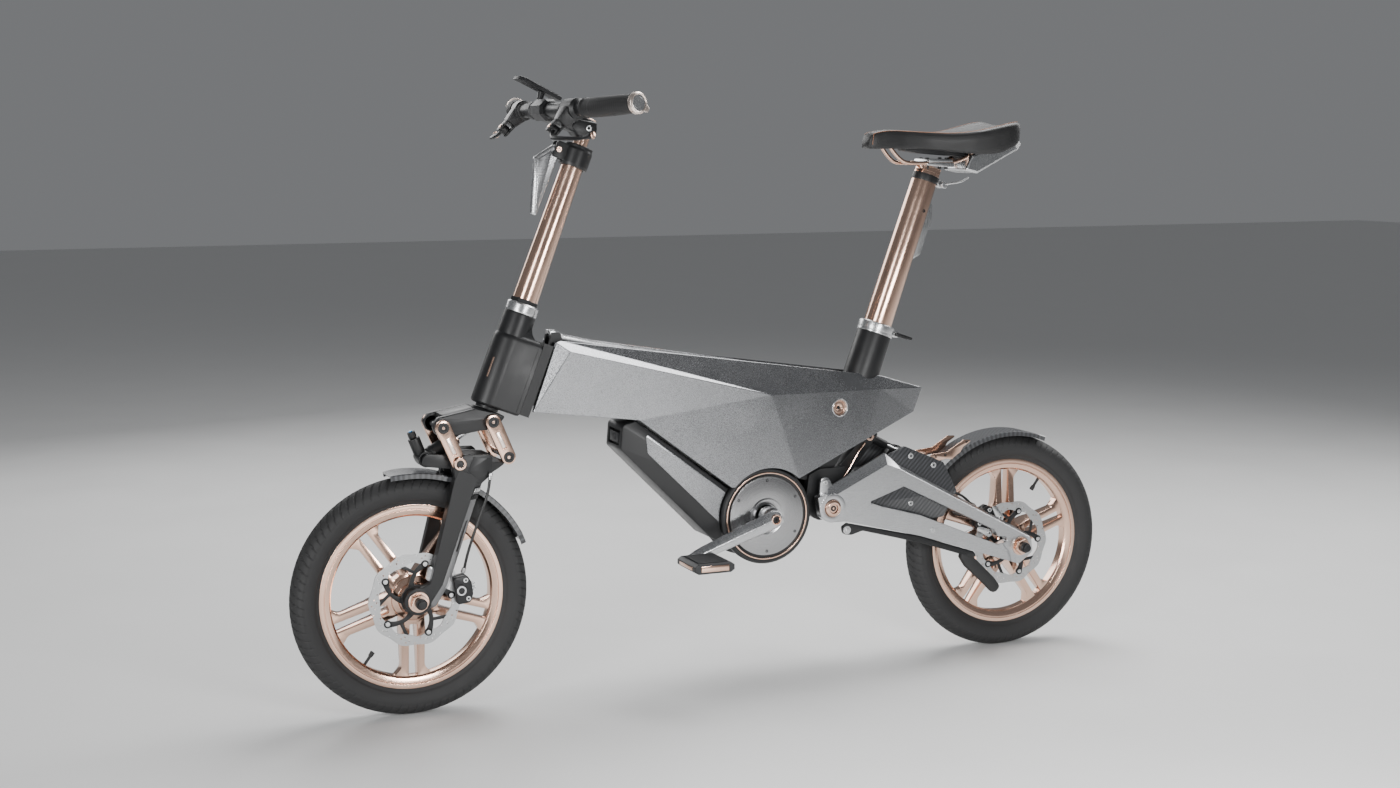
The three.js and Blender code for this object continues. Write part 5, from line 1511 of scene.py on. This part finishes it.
bridge = plate([(-232, 326, 4), (-262, 358, 4), (-330, 352, 6), (-336, 330, 6), (-300, 322, 4)],
               (-51.6, 51.6), edge=0.6)
eye_lug = carved(
    plate([(-372, 386, 10), (-352, 400, 12), (-334, 386, 8), (-316, 350), (-340, 344)], (-24, 24), edge=1.2),
    block((-366, -9.6, 372), (-290, 9.6, 440), 0),
)
piece("arm_bridge", bridge + eye_lug, "arm", BLACK)
carbon_side = plate(
    [(-240, 300, 4), (-300, 391, 5), (-336, 405, 6), (-418, 370, 6), (-448, 314, 6), (-420, 268, 8),
     (-356, 262, 6)],
    (46.8, 50.6), edge=0.8,
)
carbon_right = Solid([(p.x, -(p.y + 0.7), p.z) for p in carbon_side.points], carbon_side.faces)
piece("arm_carbon_plates", carbon_side + carbon_right, "arm", FLAT_CARBON)
arm_screws = Solid()
for x, y, z, radius in ((-349, 50.4, 386, 5.4), (-397, 50.4, 366, 5.4), (-350, 50.4, 298, 5.0),
                        (-390, 64.0, 247, 4.8), (-172, 56.8, 350, 4.4)):
    arm_screws += bolt((x, y, z), (0, 1, 0), radius, 1.6)
piece("arm_screws", arm_screws, "arm", SILVER)
guard_stay = plate([(-398, 366, 3), (-404, 382, 3), (-438, 385, 6), (-472, 405, 2), (-492, 404, 2),
                    (-472, 392, 8),
                   (-458, 368, 3), (-438, 372, 8)], (27.4, 29.8), edge=0.6)
piece("rear_guard_stay", both(guard_stay), "arm", ROSE)
stay_bolts = total(bolt((x, 29.6, z), (0, 1, 0), 2.2, 0.9) for x,
                   z in ((-414, 377), (-434, 379), (-479, 401)))
piece("rear_guard_bolts", both(stay_bolts), "arm", BLACK)
stay_block = plate([(-338, 333, 2), (-338, 343, 2), (-350, 346, 3), (-400, 366, 3), (-410, 360, 2),
                    (-396, 352, 2)],
                   (-34.6, 34.6), edge=0.8)
piece("rear_guard_root", stay_block, "arm", BLACK)
hose_route = [(-346, 44, 340), (-400, 46, 324), (-456, 44, 306), (-488, 36, 284)]
piece("rear_hose_run", pipe(hose_route, 2.4, 12, 4), "arm", HOSE, "rear_brake_hose")
piece("rear_hose_end", rod(hose_route[-1], (-496, 33.5, 278), 3.8, 4.6, 0.8), "arm", SILVER)
for degrees in (24, 58):
    foot = polar(REAR, 62, degrees)
    top = polar(REAR, 84, degrees)
    ear_plate = plate(capsule(tuple(foot), 7.5, tuple(top), 5), (45.8, 49.4), edge=0.8)
    screw = bolt((foot.x, 49.2, foot.y), (0, 1, 0), 4.6, 1.8)
    piece(f"rear_brake_ear_{degrees}", ear_plate + screw, "arm", SILVER)

washer, nut = axle_end(REAR, 71.4, 17.5, 15, 9)
right_washer, right_nut = axle_end(REAR, 60.8, 17.5, 15, 9)
rear_nuts = washer + nut + right_washer.mirrored() + right_nut.mirrored()
rear_stub = disc(REAR, 6.8, (-83, 96), 1.2)
rear_stub += disc(REAR, 9.6, (80.4, 90), 1.4) + disc(REAR, 9.6, (-79, -69.8), 1.4)
piece("rear_axle_nuts", rear_nuts, "arm", ROSE, sharp=20)
piece("rear_axle_stub", rear_stub, "arm", BLACK, "rear_axle")

ROCKER_EYE, ARM_EYE = (-284, 420), (-352, 386)
rocker_bar = carved(
    plate(capsule(ARM_PIVOT, 15, ROCKER_EYE, 11, 20), (-13.8, 13.8), edge=1.6),
    disc(ARM_PIVOT, 8.2, (-30, 30), 0),
    disc(ROCKER_EYE, 4.6, (-30, 30), 0),
    plate([(-196, 322, 4), (-262, 396, 4), (-270, 389, 4), (-204, 315, 4)], (9, 20), edge=0),
)
piece("rocker_bar", rocker_bar, "rocker", BLACK)
rocker_nuts = both(bolt((ROCKER_EYE[0], 13.6, ROCKER_EYE[1]), (0, 1, 0), 7.6, 2.0, 3.2))
piece("rocker_nuts", rocker_nuts, "rocker", ROSE)
strap = pipe([(-212, 17, 336), (-236, 18, 360), (-256, 18, 392), (-272, 17, 410)], 2.6, 12, 4, flat=0.6)
piece("rocker_straps", both(strap), "rocker", ROSE)
rocker_at, arm_at = (Vector((x, 0, z)) for x, z in (ROCKER_EYE, ARM_EYE))
rear_way = arm_at - rocker_at
can = rod(rocker_at + rear_way * 0.1, rocker_at + rear_way * 0.58, 8, edge=1.4)
can_eye = ring(ROCKER_EYE, 9.8, 5.7, (-8, 8), 1.0)
piece("rear_shock_can",
      carved(can, rod(rocker_at + rear_way * 0.3, rocker_at + rear_way * 0.7, 4.8)) + can_eye, "rear_damper",
      BLACK)
rear_rod = rod(rocker_at + rear_way * 0.5, rocker_at + rear_way * 0.9, 4.1)
piece("rear_shock_rod", rear_rod, "rear_shaft", SILVER)
piece("rear_shock_rod_eye", ring(ARM_EYE, 8.8, 4.8, (-8, 8), 1.0), "rear_shaft", BLACK)
dial_at = rocker_at + rear_way * 0.2
dial_turn = aim(dial_at + Vector((-3, 0, 7)), dial_at + Vector((-6, 0, 14)))
piece("rear_shock_dial", lathe([(0, 0), (4.4, 0), (5.0, 2), (4.4, 5, 0.8), (0, 5)], 12).moved(dial_turn),
      "rear_damper", BLACK, sharp=24)
piece("rear_shock_dot", lathe([(0, 4), (2.2, 4), (2.2, 6, 0.5), (0, 6)], 16).moved(dial_turn), "rear_damper",
      BLUE)

STAND_PIVOT = (-212, 262)
stand_side = [(-203, 268, 6), (-206, 254, 7), (-222, 252, 6), (-244, 258, 9), (-363, 226, 3), (-474, 189, 4),
              (-484, 191, 3), (-478, 200, 3), (-364, 238, 3), (-214, 274, 4)]
stand_leg = carved(plate(stand_side, (54.8, 65.4), edge=2.0), disc(STAND_PIVOT, 4.6, (40, 80), 0))
stand_groove = plate([(-252, 260, 1), (-362, 231, 1), (-462, 197, 1), (-461, 195, 1), (-361, 229, 1),
                      (-252, 258, 1)],
                     (64.2, 70), edge=0)
stand_foot = plate([(-452, 200, 3), (-478, 190, 6), (-524, 146, 8), (-538, 128, 8), (-524, 114, 9),
                    (-504, 134, 8), (-462, 172, 6), (-450, 190, 3)], (52.4, 65.6), edge=3.2)
piece("stand_leg", carved(stand_leg, stand_groove), "stand", BLACK, "kickstand")
piece("stand_foot", stand_foot, "stand", RUBBER)
piece("stand_pin", disc(STAND_PIVOT, 4.3, (51.6, 68.4), 0.8) + ring(STAND_PIVOT, 7.4, 4.2, (64.2, 66), 0.4),
      "arm", SILVER)

# ------------------------------------------------------------------ cranks and pedals
CRANK_TIP = (95.54, 241.92)
CRANK_LENGTH = 165.0
crank_turn = Matrix.Translation((CRANK[0], 0, CRANK[1])) @ Matrix.Rotation(math.radians(19.5), 4, "Y")


def crank_arm():
    """The crank arm along +X: a broad bright facet above, a dark flat side and a pointed end."""
    corners = []
    for u, half_width in ((-13, 11), (2, 15.5), (146, 10.5), (170, 8)):
        corners += [(u, 77.4, half_width), (u, 81, half_width), (u, 89.6, half_width * 0.1),
                    (u, 89.6, -half_width * 0.8), (u, 86, -half_width), (u, 77.4, -half_width)]
    corners += [(180, 80, -2), (180, 86, -4)]
    return hull(corners, 1.0)


arm = carved(crank_arm(), rod((0, 40, 0), (0, 100, 0), 9.4, edge=0),
             rod((CRANK_LENGTH, 40, 0), (CRANK_LENGTH, 100, 0), 6.6, edge=0))
hub = lathe([(9, 52), (18.6, 52, 0.8), (18.6, 70, 0.8), (16, 77.6), (9, 77.6)], 64)
spindle = lathe([(0, -72), (10.8, -72), (10.8, 60), (0, 60)], 48)
hub_ring = lathe([(6.2, 84), (9.4, 84), (9.4, 90.4, 0.6), (7.4, 90.4, 0.5), (6.2, 88.6)], 48)
hub_core = lathe([(0, 60), (9.4, 60), (9.4, 85), (6.3, 85), (6.3, 86.6), (3.4, 86.6), (3.4, 83), (0, 83)], 24)
flip = Matrix.Translation((CRANK[0], 0, CRANK[1])) @ Matrix.Rotation(math.pi, 4, "Y") @ Matrix.Translation(
    (-CRANK[0], 0, -CRANK[1]))
for name, node in (("left", "left_crank"), ("right", "right_crank")):
    metal = (arm + hub).moved(crank_turn)
    dark = hub_core.moved(crank_turn)
    rose = hub_ring.moved(crank_turn)
    if name == "right":
        metal, dark, rose = (s.moved(flip).mirrored() for s in (metal, dark, rose))
    piece(f"{name}_crank_arm", metal, "crank", ALUMINIUM, node, sharp=14)
    piece(f"{name}_crank_core", dark, "crank", BLACK)
    piece(f"{name}_crank_ring", rose, "crank", ROSE)
piece("crank_spindle", spindle.moved(crank_turn), "crank", SILVER)
spokes = Solid()
for k in range(4):
    end = polar(CRANK, 50, -19.5 + 90 * k)
    spokes += plate(capsule(CRANK, 12, tuple(end), 6.4, 12), (-67.6, -62.4), edge=0.8)
chainring = ring(CRANK, 57.5, 45, (-67.8, -60.8), 0.6, 96)
guide_rings = ring(CRANK, 62.5, 50, (-70.2, -69), 0.3, 96)
piece("chainring_wheel", chainring + spokes + guide_rings, "crank", ALUMINIUM)


def pedal():
    """A pedal about its own axle: a chamfered block with ribs on both faces."""
    section = [(-36.6, 4, 2), (-30, 8.8, 2), (30, 8.8, 2), (36.6, 4, 2), (36.6, -4, 2), (30, -8.8, 2),
               (-30, -8.8, 2), (-36.6, -4, 2)]
    body = plate(section, (95, 176.4), edge=2.4)
    pockets = [block((-28, 102, way * 7.6), (28, 168, way * 12), 0) for way in SIDES]
    ribs = total(
        block((-27, y, way * 7.4 - 0.6), (27, y + 2.6, way * 10.4 + 0.2), 0.6)
        for way in SIDES for y in range(105, 166, 6)
    )
    end_room = block((-26, 174.4, -5.6), (26, 180, 5.6), 0)
    return carved(body, *pockets, end_room) + ribs


def pedal_trim():
    end = block((-25.4, 173.8, -5.2), (25.4, 176.8, 5.2), 0.6)
    rails = total(
        block((way * 36.8 - 0.8, 108, -3.0), (way * 36.8 + 0.8, 162, 3.0), 0.5) for way in SIDES
    )
    return end + rails


pedal_washer = lathe([(3, 89.8), (8.6, 89.8, 0.6), (8.6, 94.6, 0.8), (3, 94.6)], 6)
pedal_axle = rod((0, 80, 0), (0, 97, 0), 6.2, edge=0.6) + pedal_washer
left_place = Matrix.Translation((CRANK_TIP[0], 0, CRANK_TIP[1]))
right_place = Matrix.Translation((2 * CRANK[0] - CRANK_TIP[0], 0, 2 * CRANK[1] - CRANK_TIP[1]))
for name, place in (("left", left_place), ("right", right_place)):
    turn = turn_to(name)
    body = f"{name}_pedal_set"
    piece(f"{name}_pedal_body", turn(pedal()).moved(place), body, PLASTIC, f"{name}_pedal",
          sharp=20)
    piece(f"{name}_pedal_trim", turn(pedal_trim()).moved(place), body, ROSE)
    piece(f"{name}_pedal_axle", turn(pedal_axle).moved(place), body, SILVER)

# ------------------------------------------------------------------ the seat post, rails and saddle
POST = [(0, 545), (27, 545, 1), (23.4, 940), (0, 940)]
piece("post_tube", lathe(POST, 96).moved(SEAT), "seat", ROSE, "seat_post")
BAND = [(22, 938), (24.4, 938, 0.6), (24.6, 951, 0.8), (22, 951)]
piece("post_band", lathe(BAND, 96).moved(SEAT), "seat", BLACK)
post_head = hull([seat(n, y, s) for n, s in ((-19, 950), (18, 950), (18, 968), (-19, 968))
                  for y in (-15, 15)], 1.6)
post_top = lathe([(0, 949), (23.6, 949, 1), (23.2, 957, 1), (0, 957)], 96).moved(SEAT)
piece("post_head", post_head + post_top, "seat", ROSE)
fin_shape = [(-23, 800), (-28, 800), (-38, 812, 3), (-38, 880, 3), (-30, 905, 2), (-23, 905)]
piece("post_fin", plate(fin_shape, (-3.4, 3.4), edge=1.0).moved(SEAT @ SWAP), "seat", SILVER)
screw_at = seat(-6, 23.4, 885)
piece("post_screw", bolt(screw_at - Vector((0, 1.0, 0)), (0, 1, 0), 3.2, 1.4), "seat", BLACK)
band_lug = hull([seat(n, y, s) for n, s in ((-36, 938), (-20, 938), (-20, 951), (-36, 951)) for y in (-8, 8)],
                1.6)
piece("post_lug", band_lug, "seat", SILVER)
lug_pin = rod(seat(-34, -13, 944), seat(-34, 13, 944), 3.4)
lug_nut = rod(seat(-34, 11, 944), seat(-34, 17, 944), 6.2, edge=1.2)
lug_lever = pipe([seat(-34, 12, 944), seat(-42, 20, 950), seat(-60, 24, 960), seat(-72, 24, 972)],
                 lambda t: 3.0 - 0.8 * t, 14, 3, flat=0.7)
piece("post_pin", lug_pin + lug_nut + lug_lever, "seat", SILVER)

RAIL = [(-312, 15, 954), (-318, 16, 944), (-334, 18, 926), (-352, 20, 917), (-396, 21, 916.5),
        (-440, 22, 917), (-470, 26, 926), (-492, 34, 944), (-497, 36, 952)]
piece("rail_wires", both(pipe(RAIL, 3.5, 16, 3)), "seat", ROSE, "saddle_rails")
clamp_low = hull([(x, y, z) for x, z in ((-444, 908), (-388, 912), (-388, 916.6), (-444, 916.6))
                  for y in (-28, 28)],
                 1.4)
clamp_high = hull([(x, y, z) for x, z in ((-442, 917.4), (-390, 917.4), (-392, 924), (-440, 923))
                   for y in (-28, 28)],
                  1.6)
piece("rail_clamp", clamp_low + clamp_high, "seat", SILVER)
piece("rail_clamp_bolts", total(rod((x, y, 905), (x, y, 926), 3.4) for x in (-436, -396) for y in (-12, 12)),
      "seat", BLACK)

SADDLE_STATIONS = [
    (-275, 13, 943.4, 958, 0), (-278, 15.4, 942.6, 965, 0), (-283, 17.4, 942.2, 970, 0),
    (-291, 19.4, 942, 973, 0), (-314, 22.4, 942, 976, 0),
    (-350, 26, 942, 975, 0), (-390, 35, 940, 973, 1), (-425, 49, 937, 972, 2), (-455, 62, 934, 974, 4),
    (-485, 71, 932, 979, 6), (-512, 76, 934, 985, 8), (-535, 77, 941, 990, 9), (-552, 72, 950, 992, 8),
    (-561, 62, 958, 990, 6), (-566, 46, 966, 985, 3),
]


def saddle_station(x):
    """Half width, underside, top and centre hollow at a place along the saddle."""
    for i in range(len(SADDLE_STATIONS) - 1):
        if SADDLE_STATIONS[i][0] >= x >= SADDLE_STATIONS[i + 1][0]:
            a, b = SADDLE_STATIONS[i], SADDLE_STATIONS[i + 1]
            t = (a[0] - x) / (a[0] - b[0])
            before = SADDLE_STATIONS[max(i - 1, 0)]
            after = SADDLE_STATIONS[min(i + 2, len(SADDLE_STATIONS) - 1)]
            out = []
            for k in range(1, 5):
                m0 = (b[k] - before[k]) / (b[0] - before[0]) * (b[0] - a[0]) if i else b[k] - a[k]
                m1 = (after[k] - a[k]) / (after[0] - a[0]) * (b[0] - a[0])
                out.append(
                    (2 * t**3 - 3 * t**2 + 1) * a[k] + (t**3 - 2 * t**2 + t) * m0
                    + (3 * t**2 - 2 * t**3) * b[k] + (t**3 - t**2) * m1
                )
            return out
    return SADDLE_STATIONS[-1][1:]


SEAM_SHARE = 0.9


def seam_point(x, side=1):
    half_width, _, top, _ = saddle_station(x)
    return Vector((x, side * half_width * SEAM_SHARE, top - 2.2))


def saddle_section(x):
    """One closed section: a crowned top, a piped seam at its edge, tall sides and a tucked underside."""
    half_width, low, top, hollow = saddle_station(x)
    right = []
    for k in range(9):
        share = k / 8 * 0.86
        right.append((half_width * share, top - 2.0 * share**2 - hollow * (1 - (share / 0.86) ** 2)))
    right += [
        (half_width * 0.885, top - 2.9), (half_width * 0.9, top - 3.6), (half_width * 0.93, top - 3.2),
        (half_width * 0.97, top - 5.4), (half_width * 0.995, top - 9.0),
    ]
    wall = top - 9 - low
    for share in (0.25, 0.5, 0.72, 0.88):
        right.append((half_width * (0.995 - 0.05 * share**2), top - 9 - wall * share))
    right += [(half_width * 0.92, low + 0.6), (half_width * 0.84, low), (half_width * 0.5, low + 2.0),
              (0, low + 3.0)]
    left = [(-y, z) for y, z in reversed(right[1:-1])]
    return [Vector((x, y, z)) for y, z in right + left]


saddle_run = [-275.0]
while saddle_run[-1] > -565.5:
    saddle_run.append(saddle_run[-1] - (2.0 if saddle_run[-1] > -300 or saddle_run[-1] < -535 else 4.0))
saddle_run[-1] = -566.0
cover = loft([saddle_section(x) for x in saddle_run])
cover = carved(cover, *[
    pipe([Vector((x, side * y, z)) for x, y, z in route], 4.6, 12, 4)
    for side in SIDES for route in (RAIL[:3], RAIL[-3:])
])
saddle_piece = piece("saddle_cover", cover, "seat", LEATHER, "saddle", sharp=50)


def stitches():
    """A row of short threads along both edge seams, and down the nose."""
    thread = Solid()
    for side in SIDES:
        run, at = [], -283.0
        while at > -556:
            run.append(seam_point(at, side))
            at -= 1.0
        nose = [Vector((-281 - 2 * t, side * (16.4 + 0.4 * t), 950 + 20.5 * t))
                for t in [k / 20 for k in range(21)]]
        for line in (nose, run):
            travelled, begin = 0.0, None
            for p, q in zip(line, line[1:]):
                travelled += (q - p).length
                if begin is None:
                    begin = p
                if travelled >= 3.0:
                    lift = Vector((0, 0, 0.9)) if line is run else Vector((0, side * 0.9, 0))
                    thread += rod(begin + lift * 0.6, q.lerp(begin, 0.22) + lift * 0.6, 0.62, 0.62, 0.25, 8)
                    travelled, begin = 0.0, None
    return thread


piece("saddle_stitches", stitches(), "seat", THREAD)
case_side = [(-474, 931, 3), (-459, 903, 4), (-486, 897, 8), (-572, 940, 4), (-560, 957, 3)]
case = plate(case_side, (-41, 41), edge=4.0)
piece("saddle_case", case, "seat", SILVER, sharp=20)
lens = hull([(x, y, z) for y in (-36, 36) for x, z in ((-562, 958), (-572, 962), (-580, 950), (-572, 938))],
            1.6)
piece("saddle_lens", lens, "seat", WHITE)
underside = plate([(-346, 944, 3), (-350, 938, 4), (-380, 934, 5), (-470, 927, 6), (-480, 936, 4),
                   (-470, 944)],
                  (-14, 14), edge=2.0)
piece("saddle_shell", underside, "seat", PLASTIC)

lever_pivot = seat(-38, 0, 658.5)
px, pz = lever_pivot.x, lever_pivot.z
seat_blade = plate(
    [(px + 3, pz - 3, 2), (px + 2, pz + 4, 3), (px - 16, pz - 2, 6), (px - 33, pz - 8, 3),
     (px - 32, pz - 13, 3), (px - 14, pz - 9, 6)],
    (8.2, 13.8), edge=1.2,
)
piece("seat_blade", seat_blade, "seat_clamp", BLACK, "seat_lever")
piece("seat_clamp_pin",
      rod((px, -10, pz), (px, 7.8, pz), 3.2) + rod((px, -13, pz), (px, -7.6, pz), 6.0, edge=1.0), "frame",
      SILVER)

# ------------------------------------------------------------------ CAD nodes kept as they are
KEPT = {
    "frame_spine": BLACK,
    "battery_pack": PLASTIC,
    "fold_rocker": BLACK,
    "rear_shock_body": BLACK,
    "rear_shock_shaft": SILVER,
    "jack_pulley": SILVER,
}
for node, material in KEPT.items():
    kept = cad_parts[node]
    kept.data.materials.clear()
    kept.data.materials.append(material)
    soften(kept, 0.8)

# ------------------------------------------------------------------ floor, lights and camera


def floor_paint():
    p = Paint("pale_floor", (0.72, 0.72, 0.715), 0.0, 0.62)
    cloud = p.noise(p.evenly(0.004), 4)
    p.join(p.mix(cloud, (0.7, 0.7, 0.695), (0.75, 0.75, 0.745)), "Base Color")
    p.join(p.range(cloud, 0.56, 0.68), "Roughness")
    return p.made


FLOOR_SIZE = 14.0
mesh = bpy.data.meshes.new("floor")
corners = [(x * FLOOR_SIZE, y * FLOOR_SIZE, 0.0) for x, y in ((-1, -1), (1, -1), (1, 1), (-1, 1))]
mesh.from_pydata(corners, [], [(0, 1, 2, 3)])
mesh.materials.append(floor_paint())
floor = bpy.data.objects.new("floor", mesh)
SCENE.collection.objects.link(floor)

world = bpy.data.worlds.new("studio")
world.use_nodes = True
world.node_tree.nodes["Background"].inputs["Color"].default_value = (0.82, 0.84, 0.87, 1)
world.node_tree.nodes["Background"].inputs["Strength"].default_value = 0.22
SCENE.world = world


def softbox(name, place, target, size, power):
    """A rectangular studio light that faces a target."""
    light = bpy.data.lights.new(name, "AREA")
    light.shape = "RECTANGLE"
    light.size, light.size_y = size
    light.energy = power
    thing = bpy.data.objects.new(name, light)
    thing.location = place
    thing.rotation_euler = (Vector(target) - Vector(place)).to_track_quat("-Z", "Y").to_euler()
    SCENE.collection.objects.link(thing)


softbox("top_light", (-1.0, -0.7, 2.6), (0, 0, 0.5), (2.2, 1.4), 85)
softbox("front_light", (3.2, 2.4, 1.1), (0.1, 0, 0.5), (0.9, 2.0), 90)
softbox("rear_light", (-2.8, -0.4, 1.9), (-0.3, 0, 0.5), (0.7, 1.8), 30)
softbox("back_light", (0.6, -2.8, 1.7), (0, 0, 0.6), (2.4, 1.0), 30)
softbox("floor_light", (0.0, 1.85, 0.8), (-0.05, 1.6, 0), (0.6, 0.5), 34)

YAW, PITCH = math.radians(23.295), math.radians(7.658)
camera_data = bpy.data.cameras.new("camera")
camera_data.lens = 50
camera_data.sensor_width = 36
camera = bpy.data.objects.new("camera", camera_data)
camera.location = (1.38962, 3.11579, 0.97105)
sight = Vector((-math.sin(YAW) * math.cos(PITCH), -math.cos(YAW) * math.cos(PITCH), -math.sin(PITCH)))
camera.rotation_euler = sight.to_track_quat("-Z", "Y").to_euler()
SCENE.collection.objects.link(camera)
SCENE.camera = camera
